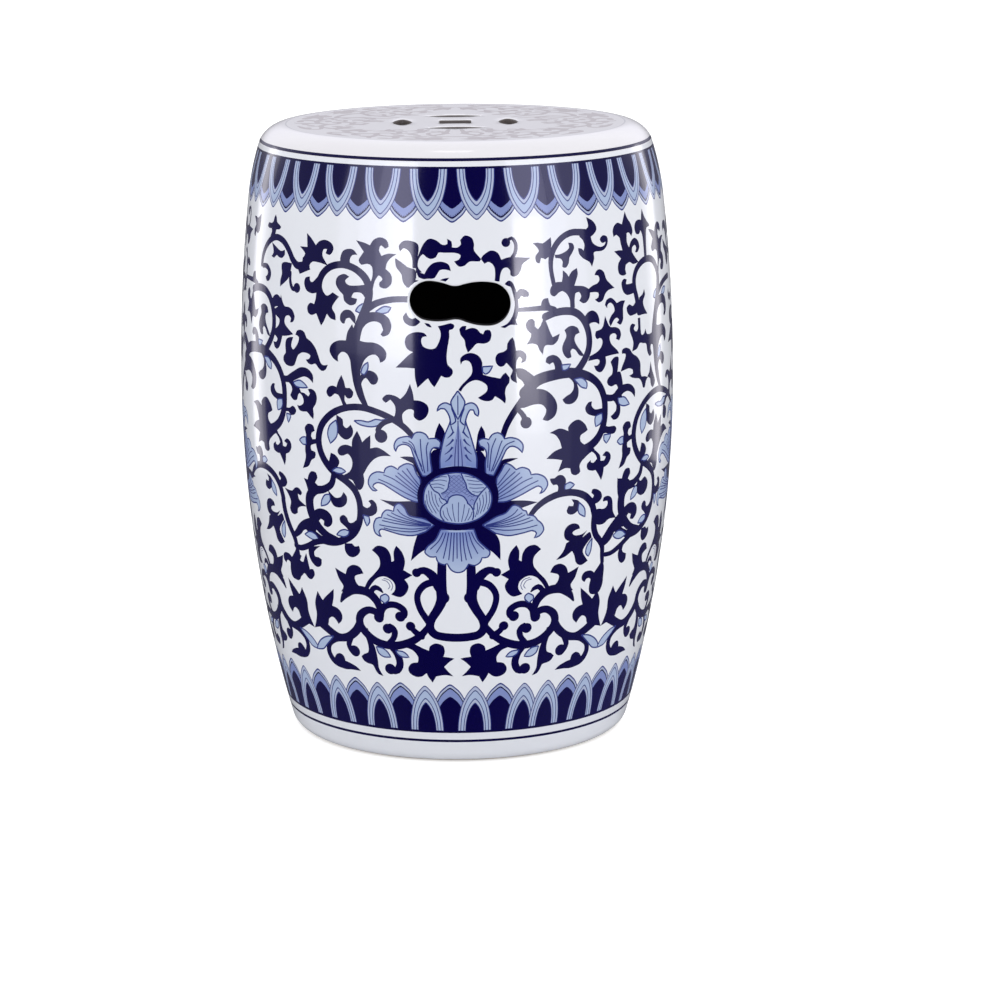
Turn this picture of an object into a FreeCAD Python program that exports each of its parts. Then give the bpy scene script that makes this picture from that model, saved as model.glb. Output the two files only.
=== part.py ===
import FreeCAD, Part
import math
import os
import Sketcher

# Ceramic garden stool: a hollow drum of fired clay with a pierced seat and two cut-through hand holes.
# Frame: +Z is up, the origin is the centre of the ring that the foot rests on, and -Y is the front.
# The drum is put together from leather-hard parts: foot ring, lower barrel, upper barrel and seat slab.
# Each part is luted on the next over a small step, and a coil of clay is smoothed into each joint inside.

DRIVING_SIZES = {
    # the drum's outline, in millimetres
    "stool_height": 406.4,
    "belly_radius": 144.5,
    "belly_height": 233.6,
    "lower_curve_radius": 855.6,
    "upper_curve_radius": 1119.3,
    "turn_in_depth": 36.9,
    "turn_in_radius": 186.0,
    "slab_thickness": 10.9,
    "shoulder_width": 17.1,
    "wall_thickness": 8.0,
    # the foot
    "foot_joint_height": 16.0,
    "foot_edge_radius": 10.0,
    "foot_rim_width": 12.0,
    "foot_recess": 2.0,
    "foot_flange_thickness": 9.0,
    "foot_flange_width": 26.0,
    "flange_edge_bevel": 1.5,
    # the stepped joints and the coils of clay inside them
    "lap_height": 3.0,
    "lap_clearance": 0.2,
    "corner_coil_reach": 9.0,
    "waist_coil_reach": 11.0,
    "waist_coil_thickness": 3.5,
    # the hand holes, cut straight through front and back
    "handle_depth": 87.0,
    "handle_lobe_spacing": 37.2,
    "handle_left_lobe_radius": 12.4,
    "handle_right_lobe_radius": 13.5,
    "handle_right_lobe_drop": 2.4,
    "handle_flank_radius": 40.0,
    "handle_neck_height": 20.7,
    "handle_neck_radius": 12.2,
    "handle_neck_offset": -2.5,
    "handle_rim_radius": 1.5,
    # the coin figure pierced through the seat
    "lens_distance": 35.0,
    "lens_length": 35.0,
    "lens_width": 12.0,
    "lens_end_radius": 1.5,
    "lens_count": 4,
    "square_side": 20.5,
    "square_corner_radius": 1.5,
    "piercing_rim_radius": 1.2,
}

# Sizes that follow from the driving ones.
WORKED_SIZES = {
    # heights measured down from the seat
    "rim_height": "Sizes.stool_height - Sizes.slab_thickness",
    "turn_in_height": "Worked.rim_height - Sizes.turn_in_depth",
    "handle_height": "Worked.rim_height - Sizes.handle_depth",
    # centres of the wall's two long curves, which share the belly's height
    "lower_centre": "Sizes.belly_radius - Sizes.lower_curve_radius",
    "upper_centre": "Sizes.belly_radius - Sizes.upper_curve_radius",
    # the tighter curve that turns the wall in below the rim
    "turn_angle": "asin((Worked.turn_in_height - Sizes.belly_height) / Sizes.upper_curve_radius)",
    "turn_centre": "Worked.upper_centre"
                   " + (Sizes.upper_curve_radius - Sizes.turn_in_radius) * cos(Worked.turn_angle)",
    "turn_centre_height": "Sizes.belly_height"
                          " + (Sizes.upper_curve_radius - Sizes.turn_in_radius) * sin(Worked.turn_angle)",
    "inner_turn_height": "Sizes.belly_height"
                         " + (Sizes.upper_curve_radius - Sizes.wall_thickness) * sin(Worked.turn_angle)",
    # the rim that carries the seat slab, and the slab's rounded shoulder
    "rim_radius": "Worked.turn_centre + sqrt(Sizes.turn_in_radius ^ 2"
                  " - (Worked.rim_height - Worked.turn_centre_height) ^ 2)",
    "rim_inner_radius": "Worked.turn_centre + sqrt((Sizes.turn_in_radius - Sizes.wall_thickness) ^ 2"
                        " - (Worked.rim_height - Worked.turn_centre_height) ^ 2)",
    "seat_flat_radius": "Worked.rim_radius - Sizes.shoulder_width",
    "shoulder_radius": "(Sizes.shoulder_width ^ 2 + Sizes.slab_thickness ^ 2)"
                       " / (2 * Sizes.slab_thickness)",
    # where the wall's curve runs into the foot's rounded edge, and where that edge meets the ground
    "foot_tangent_height": "Sizes.belly_height - Sizes.lower_curve_radius"
                           " * (Sizes.belly_height - Sizes.foot_edge_radius)"
                           " / (Sizes.lower_curve_radius - Sizes.foot_edge_radius)",
    "foot_contact_radius": "Worked.lower_centre"
                           " + sqrt((Sizes.lower_curve_radius - Sizes.foot_edge_radius) ^ 2"
                           " - (Sizes.belly_height - Sizes.foot_edge_radius) ^ 2)",
    "foot_joint_radius": "Worked.lower_centre + sqrt(Sizes.lower_curve_radius ^ 2"
                         " - (Sizes.belly_height - Sizes.foot_joint_height) ^ 2)",
    "flange_top": "Sizes.foot_recess + Sizes.foot_flange_thickness",
    "base_opening_radius": "Worked.foot_contact_radius - Sizes.foot_flange_width",
    "flange_wall_radius": "Worked.lower_centre + sqrt((Sizes.lower_curve_radius - Sizes.wall_thickness) ^ 2"
                          " - (Sizes.belly_height - Worked.flange_top) ^ 2)",
    # half-way through the wall at each joint, where its step stands
    "foot_step": "Worked.foot_joint_radius - Sizes.wall_thickness / 2",
    "waist_step": "Sizes.belly_radius - Sizes.wall_thickness / 2",
    "rim_step": "Worked.rim_radius - Sizes.wall_thickness / 2",
    # the waist coil's rounded inner face, an arc over its height
    "waist_coil_curve": "(Sizes.waist_coil_reach ^ 2 + Sizes.waist_coil_thickness ^ 2)"
                        " / (2 * Sizes.waist_coil_thickness)",
    # the long sides of a lens, which run smoothly into its small round ends
    "lens_side_radius": "((Sizes.lens_length / 2 - Sizes.lens_end_radius) ^ 2"
                        " + (Sizes.lens_width / 2) ^ 2 - Sizes.lens_end_radius ^ 2)"
                        " / (2 * (Sizes.lens_width / 2 - Sizes.lens_end_radius))",
}

# What counts as touching, or as flat, when edges are chosen.
HAIR = 0.01

document = FreeCAD.newDocument("garden_stool")


def fill_sheet(name, entries):
    """A spreadsheet with one named number or formula to a row."""
    sheet = document.addObject("Spreadsheet::Sheet", name)
    for row, (alias, content) in enumerate(entries.items(), start=1):
        sheet.set(f"A{row}", alias)
        sheet.set(f"B{row}", content if isinstance(content, str) else str(content))
        sheet.setAlias(f"B{row}", alias)
    document.recompute()
    return sheet


sizes = fill_sheet("Sizes", DRIVING_SIZES)
worked = fill_sheet("Worked", {alias: "=" + formula for alias, formula in WORKED_SIZES.items()})


def number(formula):
    """What a formula comes to, as a plain number."""
    return float(sizes.evalExpression(formula))


def radius_on_curve(centre, radius, height, centre_height="Sizes.belly_height"):
    """How far from the axis an upright curve lies at a height."""
    rise = number(height) - number(centre_height)
    return number(centre) + math.sqrt(number(radius) ** 2 - rise ** 2)


def origin_feature(body, role):
    """One of the body's own base planes or axes."""
    return next(feature for feature in body.Origin.OriginFeatures if feature.Role == role)


def new_body(label):
    """An empty body, whose label names its file."""
    body = document.addObject("PartDesign::Body", label)
    body.Label = label
    return body


def new_sketch(body, name, plane):
    """A sketch on one of the body's own base planes."""
    sketch = body.newObject("Sketcher::SketchObject", name)
    sketch.AttachmentSupport = (origin_feature(body, plane), [""])
    sketch.MapMode = "FlatFace"
    return sketch


class Curve:
    """An arc in place of a straight side. Of its centre and radius, what is given is held."""

    def __init__(self, centre=None, radius=None, leftward=True):
        self.centre = centre
        self.radius = radius
        self.leftward = leftward

    def middle(self, start, end):
        """The arc's centre as a point."""
        if self.centre:
            return FreeCAD.Vector(number(self.centre[0]), number(self.centre[1]), 0)
        chord = end - start
        reach = math.sqrt(number(self.radius) ** 2 - (chord.Length / 2) ** 2)
        side = FreeCAD.Vector(-chord.y, chord.x, 0).normalize()
        return (start + end) / 2 + side * (reach if self.leftward else -reach)

    def shape(self, start, end):
        """The arc, which a sketch always draws anticlockwise."""
        middle = self.middle(start, end)
        circle = Part.Circle(middle, FreeCAD.Vector(0, 0, 1), (start - middle).Length)
        first, last = (start, end) if self.leftward else (end, start)
        angles = [math.atan2(point.y - middle.y, point.x - middle.x) for point in (first, last)]
        if angles[1] < angles[0]:
            angles[1] += 2 * math.pi
        return Part.ArcOfCircle(circle, angles[0], angles[1])


START, END, CENTRE = range(1, 4)
UP_AXIS, ACROSS_AXIS = range(-2, 0)
ORIGIN_POINT = (ACROSS_AXIS, START)


def hold(sketch, kind, target, formula, title):
    """One dimension of a sketch, tied to its formula."""
    index = sketch.addConstraint(Sketcher.Constraint(kind, *target, number(formula)))
    sketch.renameConstraint(index, title)
    sketch.setExpression(f"Constraints.{title}", formula)


def draw_outline(sketch, corners, curves):
    """A closed outline through corners (across, up), each a formula, or a number that its curve settles.

    curves gives the arcs, by the number of the corner that each starts from.
    """
    count = len(corners)
    points = [
        FreeCAD.Vector(*[number(c) if isinstance(c, str) else c for c in corner], 0) for corner in corners
    ]
    starts, ends = {}, {}
    for i in range(count):
        following = points[(i + 1) % count]
        curve = curves.get(i)
        side = curve.shape(points[i], following) if curve else Part.LineSegment(points[i], following)
        geometry = sketch.addGeometry(side, False)
        turned = curve is not None and not curve.leftward
        starts[i] = (geometry, END if turned else START)
        ends[i] = (geometry, START if turned else END)
    for i in range(count):
        sketch.addConstraint(Sketcher.Constraint("Coincident", *ends[i], *starts[(i + 1) % count]))
    for i, corner in enumerate(corners):
        before = i - 1 if i and (i - 1) not in curves else None
        closing = i if i == count - 1 and i not in curves else None
        for axis, level, axis_line, distance in ((0, "Vertical", UP_AXIS, "DistanceX"),
                                                 (1, "Horizontal", ACROSS_AXIS, "DistanceY")):
            formula = corner[axis]
            if not isinstance(formula, str):
                continue
            if before is not None and corners[before][axis] == formula:
                sketch.addConstraint(Sketcher.Constraint(level, before))
            elif closing is not None and corners[0][axis] == formula:
                sketch.addConstraint(Sketcher.Constraint(level, closing))
            elif formula == "0":
                sketch.addConstraint(Sketcher.Constraint("PointOnObject", *starts[i], axis_line))
            else:
                hold(sketch, distance, ORIGIN_POINT + starts[i], formula, f"corner{i}{level}")
    for i, curve in curves.items():
        if curve.centre:
            hold(sketch, "DistanceX", ORIGIN_POINT + (i, CENTRE), curve.centre[0], f"centre{i}Across")
            hold(sketch, "DistanceY", ORIGIN_POINT + (i, CENTRE), curve.centre[1], f"centre{i}Up")
        if curve.radius:
            hold(sketch, "Radius", (i,), curve.radius, f"radius{i}")


def meeting_point(first, first_reach, second, second_reach, on_left):
    """The point at given distances from two others, to the left or right of the line from first to second."""
    chord = second - first
    along_chord = (first_reach ** 2 - second_reach ** 2 + chord.Length ** 2) / (2 * chord.Length)
    across = math.sqrt(first_reach ** 2 - along_chord ** 2)
    unit = chord / chord.Length
    side = FreeCAD.Vector(-unit.y, unit.x, 0)
    return first + unit * along_chord + side * (across if on_left else -across)


class Bend:
    """One arc of a smooth loop. Its centre is held by formulas, or settled by the arcs beside it."""

    def __init__(self, centre, radius, hollow=False):
        self.held = centre if isinstance(centre, tuple) else None
        self.centre = FreeCAD.Vector(number(centre[0]), number(centre[1]), 0) if self.held else centre
        self.radius = radius
        self.reach = number(radius)
        self.hollow = hollow

    def touch(self, following):
        """Where this arc runs smoothly into the next."""
        away = (following.centre - self.centre).normalize()
        inside_next = self.hollow == following.hollow and self.reach < following.reach
        return self.centre + away * (-self.reach if inside_next else self.reach)


def draw_smooth_loop(sketch, bends):
    """A closed loop of arcs, each running smoothly into the next, drawn anticlockwise."""
    count = len(bends)
    joints = [bend.touch(bends[(i + 1) % count]) for i, bend in enumerate(bends)]
    for i, bend in enumerate(bends):
        first, last = (joints[i], joints[i - 1]) if bend.hollow else (joints[i - 1], joints[i])
        angles = [math.atan2(point.y - bend.centre.y, point.x - bend.centre.x) for point in (first, last)]
        if angles[1] < angles[0]:
            angles[1] += 2 * math.pi
        circle = Part.Circle(bend.centre, FreeCAD.Vector(0, 0, 1), bend.reach)
        sketch.addGeometry(Part.ArcOfCircle(circle, angles[0], angles[1]), False)
    for i, bend in enumerate(bends):
        following = (i + 1) % count
        leaving = START if bend.hollow else END
        arriving = END if bends[following].hollow else START
        sketch.addConstraint(Sketcher.Constraint("Tangent", i, leaving, following, arriving))
    for i, bend in enumerate(bends):
        hold(sketch, "Radius", (i,), bend.radius, f"radius{i}")
        if bend.held:
            hold(sketch, "DistanceX", ORIGIN_POINT + (i, CENTRE), bend.held[0], f"centre{i}Across")
            hold(sketch, "DistanceY", ORIGIN_POINT + (i, CENTRE), bend.held[1], f"centre{i}Up")


def lens_bends():
    """A pointed oval with small round ends, lying across the seat's front."""
    radius = "Sizes.lens_end_radius"
    reach = "Sizes.lens_length / 2 - Sizes.lens_end_radius"
    right = Bend((reach, "-Sizes.lens_distance"), radius)
    left = Bend((f"-({reach})", "-Sizes.lens_distance"), radius)
    side = "Worked.lens_side_radius"
    distance = number(side) - left.reach
    far_centre, near_centre = [
        meeting_point(left.centre, distance, right.centre, distance, on_left) for on_left in (False, True)
    ]
    return [right, Bend(far_centre, side), left, Bend(near_centre, side)]


def hand_hole_bends():
    """Two round lobes, each with a long flank above and below, and a short hollow neck between."""
    drop = "Sizes.handle_right_lobe_drop / 2"
    across = "Sizes.handle_lobe_spacing / 2"
    right = Bend((across, f"Worked.handle_height - {drop}"), "Sizes.handle_right_lobe_radius")
    left = Bend((f"-{across}", f"Worked.handle_height + {drop}"), "Sizes.handle_left_lobe_radius")
    neck_reach = "Sizes.handle_neck_height / 2 + Sizes.handle_neck_radius"
    neck_top, neck_bottom = [
        Bend(("Sizes.handle_neck_offset", f"Worked.handle_height {sign} ({neck_reach})"),
             "Sizes.handle_neck_radius", hollow=True)
        for sign in "+-"
    ]
    flank = "Sizes.handle_flank_radius"

    def flank_between(lobe, neck, on_left):
        """The long arc that touches a lobe from outside and a neck from below."""
        centre = meeting_point(lobe.centre, number(flank) - lobe.reach,
                               neck.centre, number(flank) + neck.reach, on_left)
        return Bend(centre, flank)

    return [
        right, flank_between(right, neck_top, True), neck_top, flank_between(left, neck_top, False),
        left, flank_between(left, neck_bottom, True), neck_bottom, flank_between(right, neck_bottom, False),
    ]


def revolve(body, name, corners, curves):
    """A ring or disc: an upright outline turned once about the stool's axis."""
    sketch = new_sketch(body, f"{name}_outline", "XZ_Plane")
    draw_outline(sketch, corners, curves)
    document.recompute()
    if not sketch.FullyConstrained:
        raise ValueError(f"{sketch.Label} isn't fully held by its sizes")
    turn = body.newObject("PartDesign::Revolution", f"{name}_turned")
    turn.Profile = sketch
    turn.ReferenceAxis = (sketch, ["V_Axis"])
    turn.Angle = 360
    sketch.Visibility = False
    document.recompute()
    return turn


def cut_through(body, name, sketch, side):
    """A pocket through everything on one side of its sketch, or on both, that must take clay away."""
    document.recompute()
    if not sketch.FullyConstrained:
        raise ValueError(f"{sketch.Label} isn't fully held by its sizes")
    before = body.Shape.Volume
    pocket = body.newObject("PartDesign::Pocket", name)
    pocket.Profile = sketch
    pocket.Type = "ThroughAll"
    pocket.SideType = side
    pocket.Reversed = side == "One side"
    sketch.Visibility = False
    document.recompute()
    if body.Shape.Volume >= before:
        raise ValueError(f"{name} cuts nothing")
    return pocket


def soften(body, name, edges, radius):
    """A fillet on the chosen edges of the body as it stands."""
    base = body.Tip
    fillet = body.newObject("PartDesign::Fillet", name)
    chosen = [f"Edge{i}" for i, edge in enumerate(base.Shape.Edges, start=1) if edges(edge)]
    fillet.Base = (base, chosen)
    fillet.setExpression("Radius", radius)
    document.recompute()
    return fillet


# The wall's four curves, outside and inside, all drawn from the same centres.
LOWER_OUTSIDE = (("Worked.lower_centre", "Sizes.belly_height"), "Sizes.lower_curve_radius")
LOWER_INSIDE = (LOWER_OUTSIDE[0], "Sizes.lower_curve_radius - Sizes.wall_thickness")
UPPER_OUTSIDE = (("Worked.upper_centre", "Sizes.belly_height"), "Sizes.upper_curve_radius")
UPPER_INSIDE = (UPPER_OUTSIDE[0], "Sizes.upper_curve_radius - Sizes.wall_thickness")
TURN_OUTSIDE = (("Worked.turn_centre", "Worked.turn_centre_height"), "Sizes.turn_in_radius")
TURN_INSIDE = (TURN_OUTSIDE[0], "Sizes.turn_in_radius - Sizes.wall_thickness")


def wall_point(wall, height):
    """The point of a wall curve at a height: only its height is held, and the curve settles the rest."""
    centre, radius = wall
    return (radius_on_curve(centre[0], radius, height, centre[1]), height)


def along(wall, upward, held=True):
    """A stretch of a wall curve. Where it starts on another curve, that point settles its radius."""
    centre, radius = wall
    return Curve(centre, radius if held else None, leftward=upward)


def make_foot_ring():
    """The ring that the stool stands on, with a flange turned in under the hollow barrel."""
    body = new_body("foot_ring")
    rim_inside = "Worked.foot_contact_radius - Sizes.foot_rim_width"
    joint = "Sizes.foot_joint_height"
    lap_top = "Sizes.foot_joint_height + Sizes.lap_height"
    step = "Worked.foot_step - Sizes.lap_clearance"
    bevel_start = "Worked.base_opening_radius + Sizes.flange_edge_bevel"
    corners = [
        ("Worked.foot_contact_radius", "0"),
        wall_point(LOWER_OUTSIDE, "Worked.foot_tangent_height"),
        wall_point(LOWER_OUTSIDE, joint),
        (step, joint),
        (step, lap_top),
        wall_point(LOWER_INSIDE, lap_top),
        wall_point(LOWER_INSIDE, "Worked.flange_top"),
        (bevel_start, "Worked.flange_top"),
        ("Worked.base_opening_radius", "Worked.flange_top - Sizes.flange_edge_bevel"),
        ("Worked.base_opening_radius", "Sizes.foot_recess + Sizes.flange_edge_bevel"),
        (bevel_start, "Sizes.foot_recess"),
        (rim_inside, "Sizes.foot_recess"),
        (rim_inside, "0"),
    ]
    curves = {
        0: Curve(radius="Sizes.foot_edge_radius"),
        1: along(LOWER_OUTSIDE, upward=True),
        5: along(LOWER_INSIDE, upward=False),
    }
    revolve(body, "foot", corners, curves)
    return body


def make_lower_barrel():
    """The lower half of the drum, from the foot ring up to the belly."""
    body = new_body("lower_barrel")
    joint = "Sizes.foot_joint_height"
    waist = "Sizes.belly_height"
    lap_top = "Sizes.belly_height + Sizes.lap_height"
    step = "Worked.waist_step - Sizes.lap_clearance"
    rebate_top = "Sizes.foot_joint_height + Sizes.lap_height + Sizes.lap_clearance"
    corners = [
        wall_point(LOWER_OUTSIDE, joint),
        wall_point(LOWER_OUTSIDE, waist),
        (step, waist),
        (step, lap_top),
        wall_point(UPPER_INSIDE, lap_top),
        wall_point(UPPER_INSIDE, waist),
        wall_point(LOWER_INSIDE, rebate_top),
        ("Worked.foot_step", rebate_top),
        ("Worked.foot_step", joint),
    ]
    curves = {
        0: along(LOWER_OUTSIDE, upward=True),
        4: along(UPPER_INSIDE, upward=False),
        5: along(LOWER_INSIDE, upward=False, held=False),
    }
    revolve(body, "lower", corners, curves)
    return body


def make_upper_barrel():
    """The upper half of the drum, turned in at the rim, with the two hand holes."""
    body = new_body("upper_barrel")
    waist = "Sizes.belly_height"
    rim = "Worked.rim_height"
    lap_top = "Worked.rim_height + Sizes.lap_height"
    step = "Worked.rim_step - Sizes.lap_clearance"
    rebate_top = "Sizes.belly_height + Sizes.lap_height + Sizes.lap_clearance"
    corners = [
        wall_point(UPPER_OUTSIDE, waist),
        wall_point(UPPER_OUTSIDE, "Worked.turn_in_height"),
        wall_point(TURN_OUTSIDE, rim),
        (step, rim),
        (step, lap_top),
        ("Worked.rim_inner_radius", lap_top),
        wall_point(TURN_INSIDE, rim),
        wall_point(TURN_INSIDE, "Worked.inner_turn_height"),
        wall_point(UPPER_INSIDE, rebate_top),
        ("Worked.waist_step", rebate_top),
        ("Worked.waist_step", waist),
    ]
    curves = {
        0: along(UPPER_OUTSIDE, upward=True),
        1: along(TURN_OUTSIDE, upward=True, held=False),
        6: along(TURN_INSIDE, upward=False),
        7: along(UPPER_INSIDE, upward=False, held=False),
    }
    revolve(body, "upper", corners, curves)
    sketch = new_sketch(body, "hand_hole_outline", "XZ_Plane")
    draw_smooth_loop(sketch, hand_hole_bends())
    cut_through(body, "hand_holes", sketch, "Symmetric")
    half_width = number("Sizes.handle_lobe_spacing") / 2 + number("Sizes.handle_right_lobe_radius")
    middle = number("Worked.handle_height")
    wall_middle = radius_on_curve(UPPER_OUTSIDE[0][0], "Sizes.upper_curve_radius - Sizes.wall_thickness / 2",
                                  "Worked.handle_height")

    def on_hand_hole(edge):
        """The hand holes' edges on the outside of the wall, where fingers and eye meet them."""
        box = edge.BoundBox
        at_hole = abs(box.Center.z - middle) < half_width and box.ZLength < half_width
        between = max(abs(box.XMin), abs(box.XMax)) < half_width + HAIR
        outside = all(math.hypot(end.Point.x, end.Point.y) > wall_middle for end in edge.Vertexes)
        return at_hole and between and outside and box.XLength > HAIR

    soften(body, "hand_hole_rims", on_hand_hole, "Sizes.handle_rim_radius")
    return body


def make_seat_slab():
    """The round seat with its rolled shoulder, pierced with four lenses round a square."""
    body = new_body("seat_slab")
    rim = "Worked.rim_height"
    top = "Sizes.stool_height"
    groove_top = "Worked.rim_height + Sizes.lap_height + Sizes.lap_clearance"
    groove_inside = "Worked.rim_inner_radius - Sizes.lap_clearance"
    corners = [
        ("0", rim),
        (groove_inside, rim),
        (groove_inside, groove_top),
        ("Worked.rim_step", groove_top),
        ("Worked.rim_step", rim),
        ("Worked.rim_radius", rim),
        ("Worked.seat_flat_radius", top),
        ("0", top),
    ]
    revolve(body, "seat", corners, {5: Curve(radius="Worked.shoulder_radius")})
    lens = new_sketch(body, "lens_outline", "XY_Plane")
    draw_smooth_loop(lens, lens_bends())
    pocket = cut_through(body, "lens", lens, "One side")
    lenses = body.newObject("PartDesign::PolarPattern", "lenses")
    lenses.Originals = [pocket]
    lenses.Axis = (origin_feature(body, "Z_Axis"), [""])
    lenses.Angle = 360
    lenses.setExpression("Occurrences", "Sizes.lens_count")
    body.Tip = lenses
    document.recompute()
    square = new_sketch(body, "square_outline", "XY_Plane")
    half = "Sizes.square_side / 2"
    draw_outline(square, [(f"-{half}", f"-{half}"), (half, f"-{half}"), (half, half), (f"-{half}", half)], {})
    cut_through(body, "square", square, "One side")
    corner_reach = number(half) * math.sqrt(2)

    def on_square_corner(edge):
        """The upright edges in the square's four corners."""
        box = edge.BoundBox
        upright = box.XLength < HAIR and box.YLength < HAIR
        return upright and abs(math.hypot(box.Center.x, box.Center.y) - corner_reach) < HAIR

    soften(body, "square_corners", on_square_corner, "Sizes.square_corner_radius")
    pierced_reach = number("Sizes.lens_distance") + number("Sizes.lens_length")

    def on_piercing(edge):
        """The edges of the holes in the seat's top."""
        box = edge.BoundBox
        on_top = box.ZMin > number(top) - HAIR
        return on_top and max(abs(box.XMin), abs(box.XMax), abs(box.YMin), abs(box.YMax)) < pierced_reach

    soften(body, "piercing_rims", on_piercing, "Sizes.piercing_rim_radius")
    return body


def make_seat_joint_coil():
    """Clay smoothed into the angle between the wall and the seat's underside."""
    body = new_body("seat_joint_coil")
    rim = "Worked.rim_height"
    low = "Worked.rim_height - Sizes.corner_coil_reach"
    corners = [
        wall_point(TURN_INSIDE, low),
        wall_point(TURN_INSIDE, rim),
        ("Worked.rim_inner_radius - Sizes.corner_coil_reach", rim),
    ]
    revolve(body, "seat_coil", corners, {0: along(TURN_INSIDE, upward=True)})
    return body


def make_waist_joint_coil():
    """A flattened band of clay pressed over the joint of the two barrel halves."""
    body = new_body("waist_joint_coil")
    low = "Sizes.belly_height - Sizes.waist_coil_reach"
    high = "Sizes.belly_height + Sizes.waist_coil_reach"
    corners = [
        wall_point(LOWER_INSIDE, low),
        wall_point(LOWER_INSIDE, "Sizes.belly_height"),
        wall_point(UPPER_INSIDE, high),
    ]
    curves = {
        0: along(LOWER_INSIDE, upward=True),
        1: along(UPPER_INSIDE, upward=True, held=False),
        2: Curve(radius="Worked.waist_coil_curve"),
    }
    revolve(body, "waist_coil", corners, curves)
    return body


def make_foot_joint_coil():
    """Clay smoothed into the angle between the wall and the foot's flange, over their joint."""
    body = new_body("foot_joint_coil")
    floor = "Worked.flange_top"
    high = "Worked.flange_top + Sizes.corner_coil_reach"
    corners = [
        wall_point(LOWER_INSIDE, floor),
        wall_point(LOWER_INSIDE, high),
        ("Worked.flange_wall_radius - Sizes.corner_coil_reach", floor),
    ]
    revolve(body, "foot_coil", corners, {0: along(LOWER_INSIDE, upward=True)})
    return body


pieces = [
    make_foot_ring(),
    make_lower_barrel(),
    make_upper_barrel(),
    make_seat_slab(),
    make_foot_joint_coil(),
    make_waist_joint_coil(),
    make_seat_joint_coil(),
]
document.recompute()

for item in document.Objects:
    if "Invalid" in item.State or "Error" in item.State:
        raise ValueError(f"{item.Label} failed: {item.State}")

os.makedirs("parts", exist_ok=True)
MESH_TOLERANCE = 0.1
triangles = 0
for piece in pieces:
    solid = piece.Shape
    if solid.isNull() or not solid.isValid() or len(solid.Solids) != 1:
        raise ValueError(f"{piece.Label} isn't one sound solid")
    facets = len(solid.tessellate(MESH_TOLERANCE)[1])
    triangles += facets
    box = solid.BoundBox
    print(f"{piece.Label}: {solid.Volume / 1000:.1f} cm3, {facets} facets, "
          f"radius {box.XMax:.1f}, height {box.ZMin:.1f} to {box.ZMax:.1f}")
    solid.exportStep(f"parts/{piece.Label}.step")
print("facets in all:", triangles)
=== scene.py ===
# %% [markdown]
# # A blue and white garden stool
#
# This notebook dresses a ceramic drum stool for its portrait. The stool's real shape comes from a CAD
# model: a foot ring, two barrel halves thrown in moulds, a seat slab, and coils of clay in the joints.
# Here the clay gets what a potter gives it last: a painted pattern in cobalt blue, and a clear glaze.
#
# The work goes in this order: the stool's outline, the camera and lights, the painter's pattern, the
# pieces that carry it, and the glazes. Lengths are in millimetres until a mesh is made, because that is
# how a potter measures, and every mesh is then scaled to metres.

import math
import re

import bmesh
import bpy
import numpy as np
from mathutils import Matrix, Vector
from mathutils.geometry import delaunay_2d_cdt


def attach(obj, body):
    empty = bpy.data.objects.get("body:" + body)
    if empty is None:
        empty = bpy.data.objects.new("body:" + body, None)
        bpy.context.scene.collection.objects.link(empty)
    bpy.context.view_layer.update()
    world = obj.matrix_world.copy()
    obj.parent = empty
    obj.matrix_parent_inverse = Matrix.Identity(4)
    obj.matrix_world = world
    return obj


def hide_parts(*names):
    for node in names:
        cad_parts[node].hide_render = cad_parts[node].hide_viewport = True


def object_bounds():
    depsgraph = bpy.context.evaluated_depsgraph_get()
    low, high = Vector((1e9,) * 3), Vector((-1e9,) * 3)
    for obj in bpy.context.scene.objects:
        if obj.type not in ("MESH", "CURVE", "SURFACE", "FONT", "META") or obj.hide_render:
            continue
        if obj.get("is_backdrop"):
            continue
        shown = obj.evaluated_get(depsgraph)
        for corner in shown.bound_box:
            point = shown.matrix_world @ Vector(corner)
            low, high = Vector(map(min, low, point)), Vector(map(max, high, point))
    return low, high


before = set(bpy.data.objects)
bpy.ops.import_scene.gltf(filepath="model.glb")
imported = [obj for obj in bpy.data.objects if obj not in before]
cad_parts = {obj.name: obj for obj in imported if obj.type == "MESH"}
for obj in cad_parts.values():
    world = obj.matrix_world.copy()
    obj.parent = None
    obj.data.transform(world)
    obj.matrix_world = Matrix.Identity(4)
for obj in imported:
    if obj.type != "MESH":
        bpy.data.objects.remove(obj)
cad_low, cad_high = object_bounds()
MM = 0.001
print("pieces of clay:", ", ".join(sorted(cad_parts)))
print("size in mm:", [round(side / MM, 1) for side in cad_high - cad_low])

# %% [markdown]
# ## The outline of the drum
#
# A barrel stool is round from above, so one outline tells everything: how far the wall stands from the
# axis at each height. The outline is a few arcs that run smoothly into each other. A long arc goes from
# the foot up to the belly, a flatter one from the belly up, and a tighter one turns the wall in under the
# seat. The inside follows the same arcs one wall thickness further in. Formulas for the arcs are better
# here than a table of points, because the pattern must be wrapped on exactly the same curve later.

# %% The wall's arcs
BELLY_RADIUS, BELLY_HEIGHT = 144.5, 233.6
LOWER_CURVE, UPPER_CURVE, TURN_CURVE = 855.6, 1119.3, 186.0
TURN_HEIGHT = 358.6
RIM_HEIGHT, STOOL_HEIGHT = 395.5, 406.4
FOOT_JOINT = 16.0
WALL = 8.0


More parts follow.
